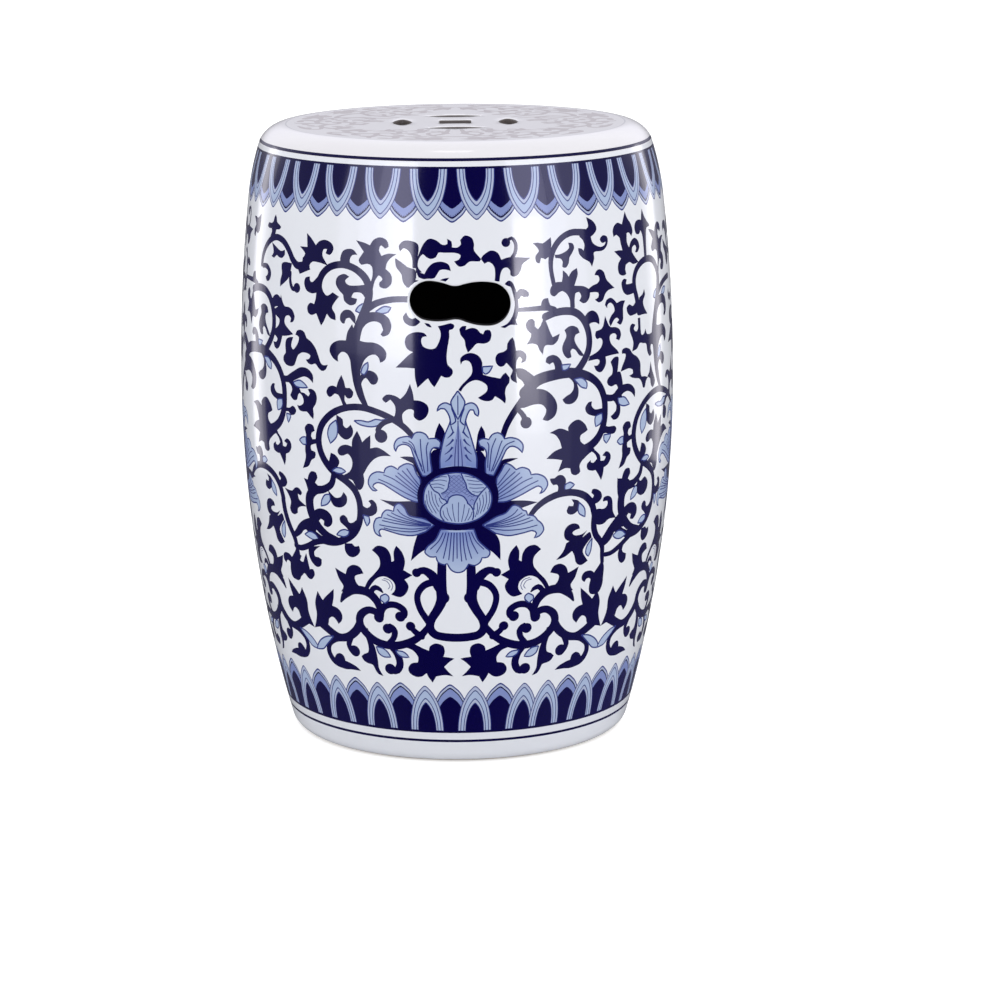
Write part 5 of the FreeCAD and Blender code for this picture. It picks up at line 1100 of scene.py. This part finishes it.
def skin(bm, sheet, inward=0.0, inside_out=False):
    """Adds one cut sheet to a bmesh, wrapped on the wall. Gives its faces."""
    places, faces, paint = sheet
    paint_layer = bm.faces.layers.float["paint"]
    corners = [bm.verts.new(on_wall(turn, height, inward)) for turn, height in places]
    made = []
    for face, colour in zip(faces, paint):
        made.append(bm.faces.new([corners[i] for i in (face[::-1] if inside_out else face)]))
        made[-1][paint_layer] = float(colour)
        made[-1].smooth = True
    remove_loose(bm, corners)
    return made


def remove_loose(bm, corners):
    """Removes the corners that no face uses."""
    for corner in corners:
        if not corner.link_faces:
            bm.verts.remove(corner)


def open_loops(bm):
    """The open edges of a mesh, as separate loops."""
    left = {edge for edge in bm.edges if edge.is_boundary}
    loops = []
    while left:
        loop, front = set(), [left.pop()]
        while front:
            edge = front.pop()
            loop.add(edge)
            for corner in edge.verts:
                for other in corner.link_edges:
                    if other in left:
                        left.discard(other)
                        front.append(other)
        loops.append(list(loop))
    return loops


bm = bmesh.new()
paint_layer = bm.faces.layers.float.new("paint")
for half in halves:
    skin(bm, half)
bmesh.ops.remove_doubles(bm, verts=bm.verts, dist=SAME_PLACE)
outer_corners = set(bm.verts)
print("open loops of the outer face:", len(open_loops(bm)))

# %% [markdown]
# The rim's steps follow a quarter circle. Each moves every corner square to the hole's outline, and down
# from the curved face, so the rounding is the same all the way round.

# %% Rounding the hand holes
def spot(corner):
    """Where a corner is, rounded, to find the corner that it was extruded from."""
    return tuple(round(value, 7) for value in corner.co)


def extruded(bm, edges):
    """Extrudes open edges. Gives the new corners, the new faces and the new open edges."""
    grown = bmesh.ops.extrude_edge_only(bm, edges=edges)["geom"]
    corners, faces, edges = ([item for item in grown if isinstance(item, kind)]
                             for kind in (bmesh.types.BMVert, bmesh.types.BMFace, bmesh.types.BMEdge))
    return corners, faces, [edge for edge in edges if edge.is_boundary]


def sunk(bm, loop, home_of, steps, place_at):
    """Extrudes an opening's edge in steps. Every corner keeps its home, from which its places are found."""
    homes = {spot(corner): home_of(corner) for edge in loop for corner in edge.verts}
    for step in steps:
        corners, _, loop = extruded(bm, loop)
        new_homes = {}
        for corner in corners:
            home = homes[spot(corner)]
            corner.co = place_at(home, step)
            new_homes[spot(corner)] = home
        homes = new_homes
    return loop


def side_of(loop):
    """Which opening of the wall a loop goes round, by the average place of its corners."""
    middle = sum((corner.co for edge in loop for corner in edge.verts), Vector()) / len(loop) / 2 / MM
    if abs(middle.y) > 60:
        return "front" if middle.y < 0 else "back"
    return "top" if middle.z > 200 else "bottom"


rim_line = [np.array(point) for point in peanut(0.0, step=0.4)]
rim_runs = [after - before
            for before, after in zip(rim_line[-1:] + rim_line[:-1], rim_line[1:] + rim_line[:1])]
rim_out = np.array([(run[1] / math.hypot(*run), -run[0] / math.hypot(*run)) for run in rim_runs])
rim_line = np.array(rim_line)
rounding = [(RIM_ROUNDING * math.sin(a), RIM_ROUNDING * (1 - math.cos(a)))
            for a in np.radians((22.5, 45, 67.5, 90))]


def rim_home(corner):
    """A rim corner's place seen from the front, and the direction out of the hole there."""
    place = np.array((corner.co.x / MM, corner.co.z / MM))
    return place, rim_out[np.argmin(((rim_line - place) ** 2).sum(axis=1))]


def through_wall(facing):
    """How a corner's place follows from its home, how far the hole has closed in, and the depth."""
    def place_at(home, step):
        (place, out), (closing, depth) = home, step
        across, height = place - out * closing
        surface = math.sqrt(wall_radius(height) ** 2 - across ** 2)
        return Vector((across, -facing * (surface - depth), height)) * MM
    return place_at


hole_loops = {side_of(loop): loop for loop in open_loops(bm)}
for side, facing in (("front", 1), ("back", -1)):
    sunk(bm, hole_loops[side], rim_home, rounding + [(RIM_ROUNDING, WALL - 1.0)], through_wall(facing))
rim_faces = [face for face in bm.faces if not all(corner in outer_corners for corner in face.verts)]
for face in rim_faces:
    face[paint_layer] = WHITE
    face.smooth = True
    depth = max(math.hypot(corner.co.x, corner.co.y) / MM - wall_radius(corner.co.z / MM)
                for corner in face.verts)
    # Faces deeper than 0.6 mm into the hole take the inside material, painted near black as shade.
    face.material_index = 1 if depth < -0.6 else 0
print("faces round the two hand holes:", len(rim_faces))

# %% Inner face and bridges
# The inner skin and the bridges take the inside material, painted near black as shade.
for facing in (1, -1):
    inner_hole = unrolled(peanut(0.0), facing, WALL)
    for face in skin(bm, half_wall([], facing, inner_hole, coarse=2), inward=WALL, inside_out=True):
        face.material_index = 1
bmesh.ops.remove_doubles(bm, verts=bm.verts, dist=SAME_PLACE)

pairs = {}
for loop in open_loops(bm):
    pairs.setdefault(side_of(loop), []).append(loop)
for side, pair in pairs.items():
    made = bmesh.ops.bridge_loops(bm, edges=[edge for loop in pair for edge in loop])
    for face in made["faces"]:
        face.material_index = 1
        face.smooth = side in ("front", "back")
    print(f"bridged {side}: {len(pair)} loops, {len(made['faces'])} faces")
bmesh.ops.triangulate(bm, faces=[face for face in bm.faces if len(face.verts) > 4])
bmesh.ops.recalc_face_normals(bm, faces=bm.faces)
print("open edges left in the wall:", sum(edge.is_boundary for edge in bm.edges))

# %% [markdown]
# The wall becomes an object. Its glaze is lit by the true direction of the curve at each point, which is
# known from the arcs, so the fine cuts of the drawing don't show as facets in the shine.

# %% Painted wall
FLOWER_HEIGHT = 183.0
WASH_FROM, WASH_FADES, BUD_WASH = 22, 24, 0.2
painted_glaze = bpy.data.materials.new("painted_glaze")
# The inside's material is dull clay painted near black: painted shade.
inner_clay = bpy.data.materials.new("inner_clay")


def make_object(bm, name, *materials):
    """Turns a bmesh into a scene object with its materials."""
    mesh = bpy.data.meshes.new(name)
    bm.to_mesh(mesh)
    bm.free()
    for material in materials:
        mesh.materials.append(material)
    return add_object(name, mesh)


def wash_depth(turn, height):
    """How strong the pale wash is: deepest where a petal leaves the flower's dark ring."""
    aside = (turn - DRAWING_TURN + 45) % 90 - 45
    distance = math.hypot(aside * MM_PER_DEGREE, height - FLOWER_HEIGHT)
    return max(0.0, 1 - (distance - WASH_FROM) / WASH_FADES) if distance > WASH_FROM else BUD_WASH


painted_wall = make_object(bm, "painted_wall", painted_glaze, inner_clay)
mesh = painted_wall.data
depth_of_wash = mesh.attributes.new("wash_depth", "FLOAT", "POINT")
true_normals = {}
for vertex in mesh.vertices:
    x, y, height = vertex.co / MM
    turn = math.degrees(math.atan2(x, -y))
    depth_of_wash.data[vertex.index].value = wash_depth(turn, height)
    height = min(max(height, FOOT_JOINT), RIM_HEIGHT)
    if abs(math.hypot(x, y) - wall_radius(height)) < 0.02:
        true_normals[vertex.index] = wall_normal(turn, height)
normals = [Vector()] * len(mesh.loops)
for face in mesh.polygons:
    if abs(face.normal.z) < 0.95:
        for loop_index in face.loop_indices:
            normals[loop_index] = true_normals.get(mesh.loops[loop_index].vertex_index, Vector())
mesh.normals_split_custom_set(normals)
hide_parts("upper_barrel", "lower_barrel")
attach(painted_wall, "root")
print("painted wall:", sum(len(face.vertices) - 2 for face in mesh.polygons), "triangles")

# %% [markdown]
# ## The seat
#
# The seat is a slab with an old coin's figure pierced through it: a square, and a lens along each side.
# Its outline runs from the flat top over a round shoulder down to the joint with the wall. The flat top
# is cut as a sheet in plan, as the wall was, the shoulder is the same ring of points at growing radius,
# and the piercings' edges are extruded round their rims and straight down.

# %% Coin figure
PIERCING_RIM = 1.2
SQUARE_SIDE, LENS_LENGTH, LENS_WIDTH, LENS_OUT = 20.5, 35.0, 12.0, 35.0
CORNER_RADIUS = 1.5


def rounded_square(side, corner, grown):
    """The square hole's outline in plan, counterclockwise, grown outwards."""
    reach, line = side / 2 - corner, []
    for quarter in range(4):
        angle = math.radians(45 + 90 * quarter)
        centre = np.array((math.copysign(reach, math.cos(angle)), math.copysign(reach, math.sin(angle))))
        for k in range(5):
            a = math.radians(90 * quarter + 22.5 * k)
            line.append(centre + (corner + grown) * np.array((math.cos(a), math.sin(a))))
    return line


def lens(length, width, end, grown):
    """A lens hole's outline in plan, long from left to right, counterclockwise, grown outwards."""
    side = ((length / 2 - end) ** 2 + (width / 2) ** 2 - end ** 2) / (2 * (width / 2 - end))
    drop = side - width / 2
    lean = math.atan2(drop, length / 2 - end)
    line = []
    for flip in (1, -1):
        for k in range(-3, 4):
            a = (math.pi / 2 - math.atan2(length / 2 - end, drop)) * k / 3
            line.append(flip * (np.array((length / 2 - end, 0))
                                + (end + grown) * np.array((math.cos(a), math.sin(a)))))
        for k in range(1, 24):
            a = lean + (math.pi - 2 * lean) * k / 24
            line.append(flip * (np.array((0, -drop)) + (side + grown) * np.array((math.cos(a), math.sin(a)))))
    return line


def turned(outline, quarter, out=0.0):
    """An outline moved away from the axis and turned a number of quarters round it."""
    cos, sin = round(math.cos(quarter * math.pi / 2)), round(math.sin(quarter * math.pi / 2))
    return [np.array((cos * x - sin * (y - out), sin * x + cos * (y - out))) for x, y in outline]


def piercings(grown):
    """All five holes of the coin figure."""
    one_lens = lens(LENS_LENGTH, LENS_WIDTH, CORNER_RADIUS, grown)
    return ([rounded_square(SQUARE_SIDE, CORNER_RADIUS, grown)]
            + [turned(one_lens, quarter, LENS_OUT) for quarter in range(4)])


print("points round the piercings:", [len(line) for line in piercings(0.0)])

# %% [markdown]
# On the flat top the photograph shows a scroll so faded that only its rhythm can be read. The lower
# scroll of the wall, bent round the coin figure, has the same rhythm, so it is used once more.

# %% Flat top of the seat
SEAT_FLAT = 112.4
ROUND = 240
SCROLL_EDGE, SCROLL_SHRINK, SCROLL_FOOT = 108, 0.66, 58
GRID_REACH, GRID_STEP = 108, 6
seat_glaze = bpy.data.materials.new("seat_glaze")


def circle(radius, count):
    """Points evenly round a circle."""
    angles = 2 * math.pi * np.arange(count) / count
    return [radius * np.array((math.cos(a), math.sin(a))) for a in angles]


def on_seat(turn, height):
    """Where a prick of the lower scroll comes to lie on the seat, its foot at the seat's edge."""
    radius, angle = SCROLL_EDGE - (height - SCROLL_FOOT) * SCROLL_SHRINK, math.radians(turn * 4 / 3)
    return np.array((radius * math.sin(angle), -radius * math.cos(angle)))


# The grey ring just inside the flat's edge is painted shade, where the top turns into the shoulder.
seat_drawing = [(FINE, circle(SEAT_FLAT + 1, ROUND), False), (WHITE, circle(SEAT_FLAT - 1, ROUND), True)]
for paint, outline, _ in lower_marks + moved(lower_pair, by=180):
    if paint == DARK:
        seat_drawing.append((MIST, [on_seat(*point) for point in outline], True))
rows = range(-GRID_REACH, GRID_REACH + 1, GRID_STEP)
grid = [np.array((x + (GRID_STEP / 2 if row % 2 else 0), y)) for row, y in enumerate(rows) for x in rows
        if 0 < math.hypot(x + GRID_STEP / 2, y) < GRID_REACH - 1]
places, faces, paint = cut_sheet(seat_drawing, circle(SEAT_FLAT, ROUND), piercings(PIERCING_RIM), grid)

bm = bmesh.new()
paint_layer = bm.faces.layers.float.new("paint")
corners = [bm.verts.new(Vector((x, y, STOOL_HEIGHT)) * MM) for x, y in places]
for face, colour in zip(faces, paint):
    bm.faces.new([corners[i] for i in face])[paint_layer] = float(colour)
remove_loose(bm, corners)
print("faces on the flat top:", len(bm.faces))

# %% [markdown]
# The shoulder is one arc. It ends where the seat sits in the rim of the wall, and a thin blue line runs
# along it.

# %% Shoulder
SHOULDER = 18.86
SHOULDER_CENTRE = STOOL_HEIGHT - SHOULDER
SHOULDER_STEPS = (6, 12, 18, 25, 32, 40, 48, 53, 57.5, 63.9,
                  90 - math.degrees(math.asin((RIM_HEIGHT - SHOULDER_CENTRE) / SHOULDER)))
BLUE_LINE_FROM, BLUE_LINE_TO = 60, 64


def is_rim(loop):
    """Whether a loop is the seat's outer edge and not a piercing."""
    return all(math.hypot(*(edge.verts[0].co / MM).xy) > 100 for edge in loop)


seat_loops = open_loops(bm)
rim = next(loop for loop in seat_loops if is_rim(loop))
for angle in SHOULDER_STEPS:
    a = math.radians(angle)
    radius, height = SEAT_FLAT + SHOULDER * math.sin(a), STOOL_HEIGHT - SHOULDER * (1 - math.cos(a))
    new_corners, new_faces, rim = extruded(bm, rim)
    for corner in new_corners:
        corner.co = Vector((*(corner.co.xy.normalized() * radius), height)) * MM
    for face in new_faces:
        face[paint_layer] = DARK if BLUE_LINE_FROM < angle < BLUE_LINE_TO else WHITE
print("the shoulder reaches", round(radius, 1), "mm out at", round(height, 1), "mm height")

# %% Piercings and underside
# Each step of a piercing: how much of the rim's width is closed, and how deep it lies.
PIERCING_STEPS = ((0.38, 0.09), (0.71, 0.35), (0.92, 0.74), (1.0, 1.2), (1.0, STOOL_HEIGHT - RIM_HEIGHT))
small_of = {tuple(np.round(big, 3)): small
            for small_line, big_line in zip(piercings(0.0), piercings(PIERCING_RIM))
            for small, big in zip(small_line, big_line)}


def piercing_home(corner):
    """A corner's place on the top, and where it comes to stand once the rim is rounded."""
    big = np.array(tuple((corner.co / MM).xy))
    nearest = min(small_of, key=lambda key: (key[0] - big[0]) ** 2 + (key[1] - big[1]) ** 2)
    return big, small_of[nearest]


def down_piercing(home, step):
    """A corner's place at one step of a piercing."""
    (big, small), (share, depth) = home, step
    return Vector((*(big + (small - big) * share), STOOL_HEIGHT - depth)) * MM


under_edges = list(rim)
for loop in seat_loops:
    if not is_rim(loop):
        under_edges += sunk(bm, loop, piercing_home, PIERCING_STEPS, down_piercing)
# The underside takes the inside material, painted near black as shade.
made = bmesh.ops.triangle_fill(bm, use_beauty=True, use_dissolve=False, edges=under_edges)
for item in made["geom"]:
    if isinstance(item, bmesh.types.BMFace):
        item.material_index = 1
for face in bm.faces:
    face.smooth = face.material_index == 0
    middle = face.calc_center_median() / MM
    # From half a millimetre down, rounded rims too, the piercings are darker: clay under thin glaze and
    # painted shade.
    in_piercing = middle.z < STOOL_HEIGHT - 0.5 and math.hypot(middle.x, middle.y) < 80
    if in_piercing and not face.material_index:
        face.material_index = 2
bmesh.ops.recalc_face_normals(bm, faces=bm.faces)
print("open edges left in the seat:", sum(edge.is_boundary for edge in bm.edges))

# The piercings' material: clay under a thin glaze, darkened further as painted shade.
pierced_clay_and_shade = bpy.data.materials.new("pierced_clay_and_shade")
glazed_seat = make_object(bm, "glazed_seat", seat_glaze, inner_clay, pierced_clay_and_shade)
glazed_seat.data.set_sharp_from_angle(angle=math.radians(50))
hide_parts("seat_slab")
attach(glazed_seat, "root")

# %% [markdown]
# ## The foot
#
# The foot ring is turned round the axis from one outline, as it is on the wheel: a tapered outer face, a
# rounded edge, the flat rim that stands on the floor, and a recess with the opening that lets the steam
# out in the kiln. The glaze stops a few millimetres short of the floor, or the stool would melt onto the
# kiln shelf, so the lowest edge is bare clay.

# %% Foot ring
FOOT_EDGE, FOOT_CONTACT, EDGE_TOP = 10.0, 104.4, 7.356
RECESS_RADIUS, RECESS_DEPTH = 92.4, 2.0
OPENING_RADIUS, FLANGE_TOP = 78.4, 11.0
BLUE_LINE_WIDTH, GLAZE_ENDS = 0.9, 1.4
CLAY = 6  # One more paint after the six of the wall.
foot_clay = bpy.data.materials.new("foot_clay")

top = wall_radius(FOOT_JOINT)
lean = math.asin((FOOT_EDGE - EDGE_TOP) / FOOT_EDGE)
edge_turn = FOOT_CONTACT + FOOT_EDGE * math.cos(lean)
line_share = BLUE_LINE_WIDTH / (FOOT_JOINT - EDGE_TOP)
outline = [(top, FOOT_JOINT), (top + (edge_turn - top) * line_share, FOOT_JOINT - BLUE_LINE_WIDTH)]
outline += [(FOOT_CONTACT + FOOT_EDGE * math.cos(a), FOOT_EDGE - FOOT_EDGE * math.sin(a))
            for a in np.linspace(lean, math.pi / 2, 10)]
outline += [(RECESS_RADIUS, 0.0), (RECESS_RADIUS, RECESS_DEPTH), (OPENING_RADIUS, RECESS_DEPTH),
            (OPENING_RADIUS, FLANGE_TOP), (top - WALL, FLANGE_TOP), (top - WALL, FOOT_JOINT)]
bm = bmesh.new()
corners = [bm.verts.new(Vector((0, -radius, height)) * MM) for radius, height in outline]
edges = [bm.edges.new((a, b)) for a, b in zip(corners, corners[1:] + corners[:1])]
bmesh.ops.spin(bm, geom=corners + edges, axis=(0, 0, 1), cent=(0, 0, 0), angle=2 * math.pi, steps=ROUND,
               use_merge=True)
bmesh.ops.remove_doubles(bm, verts=bm.verts, dist=SAME_PLACE)
bmesh.ops.recalc_face_normals(bm, faces=bm.faces)
paint_layer = bm.faces.layers.float.new("paint")
for face in bm.faces:
    face.smooth = True
    middle = face.calc_center_median() / MM
    outside = math.hypot(middle.x, middle.y) > 100
    glaze = DARK if middle.z > FOOT_JOINT - 1 else WHITE
    face[paint_layer] = glaze if outside and middle.z > GLAZE_ENDS else CLAY
print("open edges left in the foot:", sum(edge.is_boundary for edge in bm.edges))

foot = make_object(bm, "foot", foot_clay)
foot.data.set_sharp_from_angle(angle=math.radians(40))
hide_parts("foot_ring")
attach(foot, "root")

# %% [markdown]
# ## Glazes and clay
#
# The glaze is one glossy white material whose colour depends on the number of the paint on each face.
# Image textures would need a picture, while this way the colours stay a handful of named values. A slow
# noise makes the cobalt a little thicker and thinner from place to place, and a very low bump makes the
# reflections waver as they do on fired glaze. Both come from one node group, placed at two scales.

# %% Parts of a material
TONE_SCALE, WAVE_SCALE = 12.0, 40.0
WAVE_STRENGTH = 0.6
GLAZE_WAVES, CLAY_GRAIN = 0.00002, 0.0002


def shader_of(material):
    """A material's node tree with only a shader and its output."""
    material.use_nodes = True
    tree = material.node_tree
    tree.nodes.clear()
    output = tree.nodes.new("ShaderNodeOutputMaterial")
    shader = tree.nodes.new("ShaderNodeBsdfPrincipled")
    tree.links.new(shader.outputs["BSDF"], output.inputs["Surface"])
    return tree, shader


# The group is noise on the object's own coordinates, from 0 to 1, at a scale that each material gives.
unevenness = bpy.data.node_groups.new("unevenness", "ShaderNodeTree")
unevenness.interface.new_socket("Scale", in_out="INPUT", socket_type="NodeSocketFloat")
unevenness.interface.new_socket("Value", in_out="OUTPUT", socket_type="NodeSocketFloat")
given, given_out, place, noise = (unevenness.nodes.new(kind) for kind in (
    "NodeGroupInput", "NodeGroupOutput", "ShaderNodeTexCoord", "ShaderNodeTexNoise"))
noise.inputs["Detail"].default_value = 3.0
unevenness.links.new(given.outputs["Scale"], noise.inputs["Scale"])
unevenness.links.new(place.outputs["Object"], noise.inputs["Vector"])
unevenness.links.new(noise.outputs["Fac"], given_out.inputs["Value"])


def uneven(tree, scale):
    """The unevenness, placed in a material at a scale."""
    node = tree.nodes.new("ShaderNodeGroup")
    node.node_tree = unevenness
    node.inputs["Scale"].default_value = scale
    return node.outputs["Value"]


def mixed(tree, factor, first, second):
    """A colour that runs from one to another by a factor output."""
    mix = tree.nodes.new("ShaderNodeMix")
    mix.data_type = "RGBA"
    tree.links.new(factor, mix.inputs["Factor"])
    for socket, colour in ((mix.inputs[6], first), (mix.inputs[7], second)):
        if isinstance(colour, tuple):
            socket.default_value = (*colour, 1.0)
        else:
            tree.links.new(colour, socket)
    return mix.outputs[2]


def spread(tree, value, start, end, first, last):
    """A value carried over from one range to another."""
    node = tree.nodes.new("ShaderNodeMapRange")
    for name, number in (("From Min", start), ("From Max", end), ("To Min", first), ("To Max", last)):
        node.inputs[name].default_value = number
    tree.links.new(value, node.inputs["Value"])
    return node.outputs["Result"]


def wavy(tree, shader, height):
    """The slight unevenness of a fired surface in the shader's normal."""
    bump = tree.nodes.new("ShaderNodeBump")
    bump.inputs["Distance"].default_value = height
    bump.inputs["Strength"].default_value = WAVE_STRENGTH
    tree.links.new(uneven(tree, WAVE_SCALE), bump.inputs["Height"])
    tree.links.new(bump.outputs["Normal"], shader.inputs["Normal"])


print("node groups:", [group.name for group in bpy.data.node_groups])

# %% [markdown]
# The colours are written as they look on the screen. Where there are two, the glaze or the clay wanders
# from one to the other.

# %% Colours by paint
def srgb(red, green, blue):
    """A colour as it is seen, 0 to 255, in the shader's own numbers."""
    return tuple(((v / 255 + 0.055) / 1.055) ** 2.4 if v > 10 else v / 255 / 12.92 for v in (red, green, blue))


GLAZE_WHITE = srgb(238, 240, 246), srgb(231, 234, 243)
SEAT_WHITE = srgb(240, 239, 243), srgb(234, 232, 238)
COBALT = srgb(4, 1, 46), srgb(9, 5, 68)
MIST_BLUE = srgb(186, 195, 220), srgb(172, 182, 211)
WASH = srgb(174, 190, 221), srgb(118, 136, 195)
SHADE_BLUE, HAIRLINE_BLUE = srgb(132, 146, 199), srgb(46, 56, 124)
# The seat's grey ring is painted shade at the edge of the flat top.
FADED_SCROLL, SEAT_EDGE_PAINTED_SHADE = (srgb(202, 194, 196), srgb(180, 171, 174)), srgb(205, 205, 212)
BARE_CLAY = srgb(206, 197, 186), srgb(188, 177, 164)
# The piercings' brown-grey is partly clay under thin glaze, partly painted shade.
PIERCED_CLAY_AND_SHADE = srgb(120, 112, 110), srgb(96, 88, 86)
# The inside's near black is painted shade.
INSIDE_PAINTED_SHADE = srgb(22, 20, 19), srgb(36, 33, 30)


def paint_above(tree, step):
    """1 where the number of the paint is above a step."""
    number = tree.nodes.new("ShaderNodeAttribute")
    number.attribute_name = "paint"
    test = tree.nodes.new("ShaderNodeMath")
    test.operation = "GREATER_THAN"
    test.inputs[1].default_value = step
    tree.links.new(number.outputs["Fac"], test.inputs[0])
    return test.outputs["Value"]


def painted(tree, ground, *paints):
    """The ground's colour, and over it each paint's colour where the number is at least that paint's."""
    colour = ground
    for number, its_colour in paints:
        colour = mixed(tree, paint_above(tree, number - 0.5), colour, its_colour)
    return colour


def shine(shader, roughness, coat_roughness):
    """A glossy glaze with a thin clear coat over it."""
    shader.inputs["Roughness"].default_value = roughness
    shader.inputs["Coat Weight"].default_value = 0.3
    shader.inputs["Coat Roughness"].default_value = coat_roughness


print("cobalt, thick and thin:", [tuple(round(part, 3) for part in colour) for colour in COBALT])

# %% Glaze of the wall
# White ground, pale washes, fine lines, and cobalt that thins where the brush ran dry.
tree, shader = shader_of(painted_glaze)
tone = uneven(tree, TONE_SCALE)
depth = tree.nodes.new("ShaderNodeAttribute")
depth.attribute_name = "wash_depth"
colour = painted(tree, mixed(tree, tone, *GLAZE_WHITE), (MIST, mixed(tree, tone, *MIST_BLUE)),
                 (PALE, mixed(tree, depth.outputs["Fac"], *WASH)), (SOFT, SHADE_BLUE),
                 (FINE, HAIRLINE_BLUE), (DARK, mixed(tree, tone, *COBALT)))
tree.links.new(colour, shader.inputs["Base Color"])
shine(shader, 0.12, 0.04)
wavy(tree, shader, GLAZE_WAVES)
print("painted glaze:", len(tree.nodes), "nodes")

# %% Glaze of the seat
# A slightly warmer white, a faded brown-grey scroll, a grey ring of painted shade at the flat's edge, and one
# blue line on the shoulder.
tree, shader = shader_of(seat_glaze)
tone = uneven(tree, TONE_SCALE)
colour = painted(tree, mixed(tree, tone, *SEAT_WHITE), (MIST, mixed(tree, tone, *FADED_SCROLL)),
                 (FINE, SEAT_EDGE_PAINTED_SHADE), (DARK, mixed(tree, tone, *COBALT)))
tree.links.new(colour, shader.inputs["Base Color"])
shine(shader, 0.16, 0.05)
wavy(tree, shader, GLAZE_WAVES)
print("seat glaze:", len(tree.nodes), "nodes")

# %% Glaze and clay of the foot
# Glazed like the wall down to the bare, slightly brown clay that stands on the floor.
tree, shader = shader_of(foot_clay)
tone = uneven(tree, TONE_SCALE)
colour = painted(tree, mixed(tree, tone, *GLAZE_WHITE), (DARK, mixed(tree, tone, *COBALT)),
                 (CLAY, mixed(tree, tone, *BARE_CLAY)))
tree.links.new(colour, shader.inputs["Base Color"])
roughness = spread(tree, paint_above(tree, CLAY - 0.5), 0.0, 1.0, 0.14, 0.85)
tree.links.new(roughness, shader.inputs["Roughness"])
wavy(tree, shader, GLAZE_WAVES)
print("foot clay:", len(tree.nodes), "nodes")

# %% [markdown]
# The walls of the piercings are a mid brown-grey: partly a thin glaze over clay, partly painted shade.
# Inside, the dull clay is painted near black as painted shade, and the coils that join the parts get the same.

# %% Clay inside
for material, tones, roughness, height in ((pierced_clay_and_shade, PIERCED_CLAY_AND_SHADE, 0.5, GLAZE_WAVES),
                                           (inner_clay, INSIDE_PAINTED_SHADE, 0.9, CLAY_GRAIN)):
    tree, shader = shader_of(material)
    tree.links.new(mixed(tree, uneven(tree, TONE_SCALE), *tones), shader.inputs["Base Color"])
    shader.inputs["Roughness"].default_value = roughness
    wavy(tree, shader, height)

# The coils inside the stool get the same near-black painted shade.
for name in ("seat_joint_coil", "waist_joint_coil", "foot_joint_coil"):
    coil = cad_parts[name]
    if not coil.material_slots:
        coil.data.materials.append(inner_clay)
    for place in coil.material_slots:
        place.link = "OBJECT"
        place.material = inner_clay
    print(name, "is", coil.material_slots[0].material.name)

# %% [markdown]
# The floor glows for the camera only, so that it looks as pale as the surround and lights the stool less.

# %% Floor
FLOOR_GLOW = 0.5
pale_ground = bpy.data.materials.new("pale_ground")
tree, shader = shader_of(pale_ground)
shader.inputs["Base Color"].default_value = (*srgb(230, 230, 230), 1)
shader.inputs["Roughness"].default_value = 0.9
shader.inputs["Specular IOR Level"].default_value = 0.0
shader.inputs["Emission Color"].default_value = (1, 1, 1, 1)
which = tree.nodes.new("ShaderNodeLightPath")
glow = spread(tree, which.outputs["Is Camera Ray"], 0.0, 1.0, 0.0, FLOOR_GLOW)
tree.links.new(glow, shader.inputs["Emission Strength"])
floor.data.materials.append(pale_ground)
print("pale ground:", len(tree.nodes), "nodes")

# %% [markdown]
# The surround is plain white, and a little brighter from the right. The glaze sees it only at its far left
# and far right, and above the horizon behind the stool, as in a studio where dark cloth hangs behind the
# camera.

# %% Surround
MIRRORED_TINT = (0.96, 0.95, 1.08)

tree = surround.node_tree
tree.nodes.clear()
output = tree.nodes.new("ShaderNodeOutputWorld")
which = tree.nodes.new("ShaderNodeLightPath")
direction = tree.nodes.new("ShaderNodeTexCoord")
apart = tree.nodes.new("ShaderNodeSeparateXYZ")
tree.links.new(direction.outputs["Generated"], apart.inputs["Vector"])


def background(strength, colour=(1, 1, 1)):
    """A plain background of a given strength."""
    node = tree.nodes.new("ShaderNodeBackground")
    node.inputs["Color"].default_value = (*colour, 1)
    if isinstance(strength, float):
        node.inputs["Strength"].default_value = strength
    else:
        tree.links.new(strength, node.inputs["Strength"])
    return node.outputs["Background"]


def either(factor, first, second):
    """One background or the other."""
    node = tree.nodes.new("ShaderNodeMixShader")
    tree.links.new(factor, node.inputs["Fac"])
    tree.links.new(first, node.inputs[1])
    tree.links.new(second, node.inputs[2])
    return node.outputs["Shader"]


def combined(operation, first, second):
    """Two values added or multiplied."""
    node = tree.nodes.new("ShaderNodeMath")
    node.operation = operation
    tree.links.new(first, node.inputs[0])
    tree.links.new(second, node.inputs[1])
    return node.outputs["Value"]


def towards(axis, start, end, first, last):
    """A value that changes with how far a direction leans along one axis."""
    return spread(tree, apart.outputs[axis], start, end, first, last)


aside = combined("MULTIPLY", towards("Y", -0.75, -0.35, 0.0, 1.0), towards("Z", -0.4, 0.1, 0.08, 0.19))
behind = combined("MULTIPLY", towards("Y", 0.2, 0.8, 0.0, 0.7), towards("Z", 0.02, 0.2, 0.0, 1.0))
mirrored = background(combined("ADD", aside, behind), MIRRORED_TINT)
from_right = background(towards("X", -1.0, 1.0, 0.98, 1.14))
lit = either(which.outputs["Is Glossy Ray"], from_right, mirrored)
tree.links.new(either(which.outputs["Is Camera Ray"], lit, background(1.0)), output.inputs["Surface"])
bpy.context.scene.view_settings.view_transform = "Standard"
print("surround:", len(tree.nodes), "nodes")

# %% [markdown]
#
# The size of the glazed and painted stool is taken again, set beside the size of the CAD shapes, and printed.
# The glaze and the paint must not make the stool any larger than its clay.

# %% Finish
low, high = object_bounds()
{"cad": [list(cad_low), list(cad_high)], "scene": [list(low), list(high)]}
print("size in the scene, mm:", [round(side / MM, 1) for side in high - low])
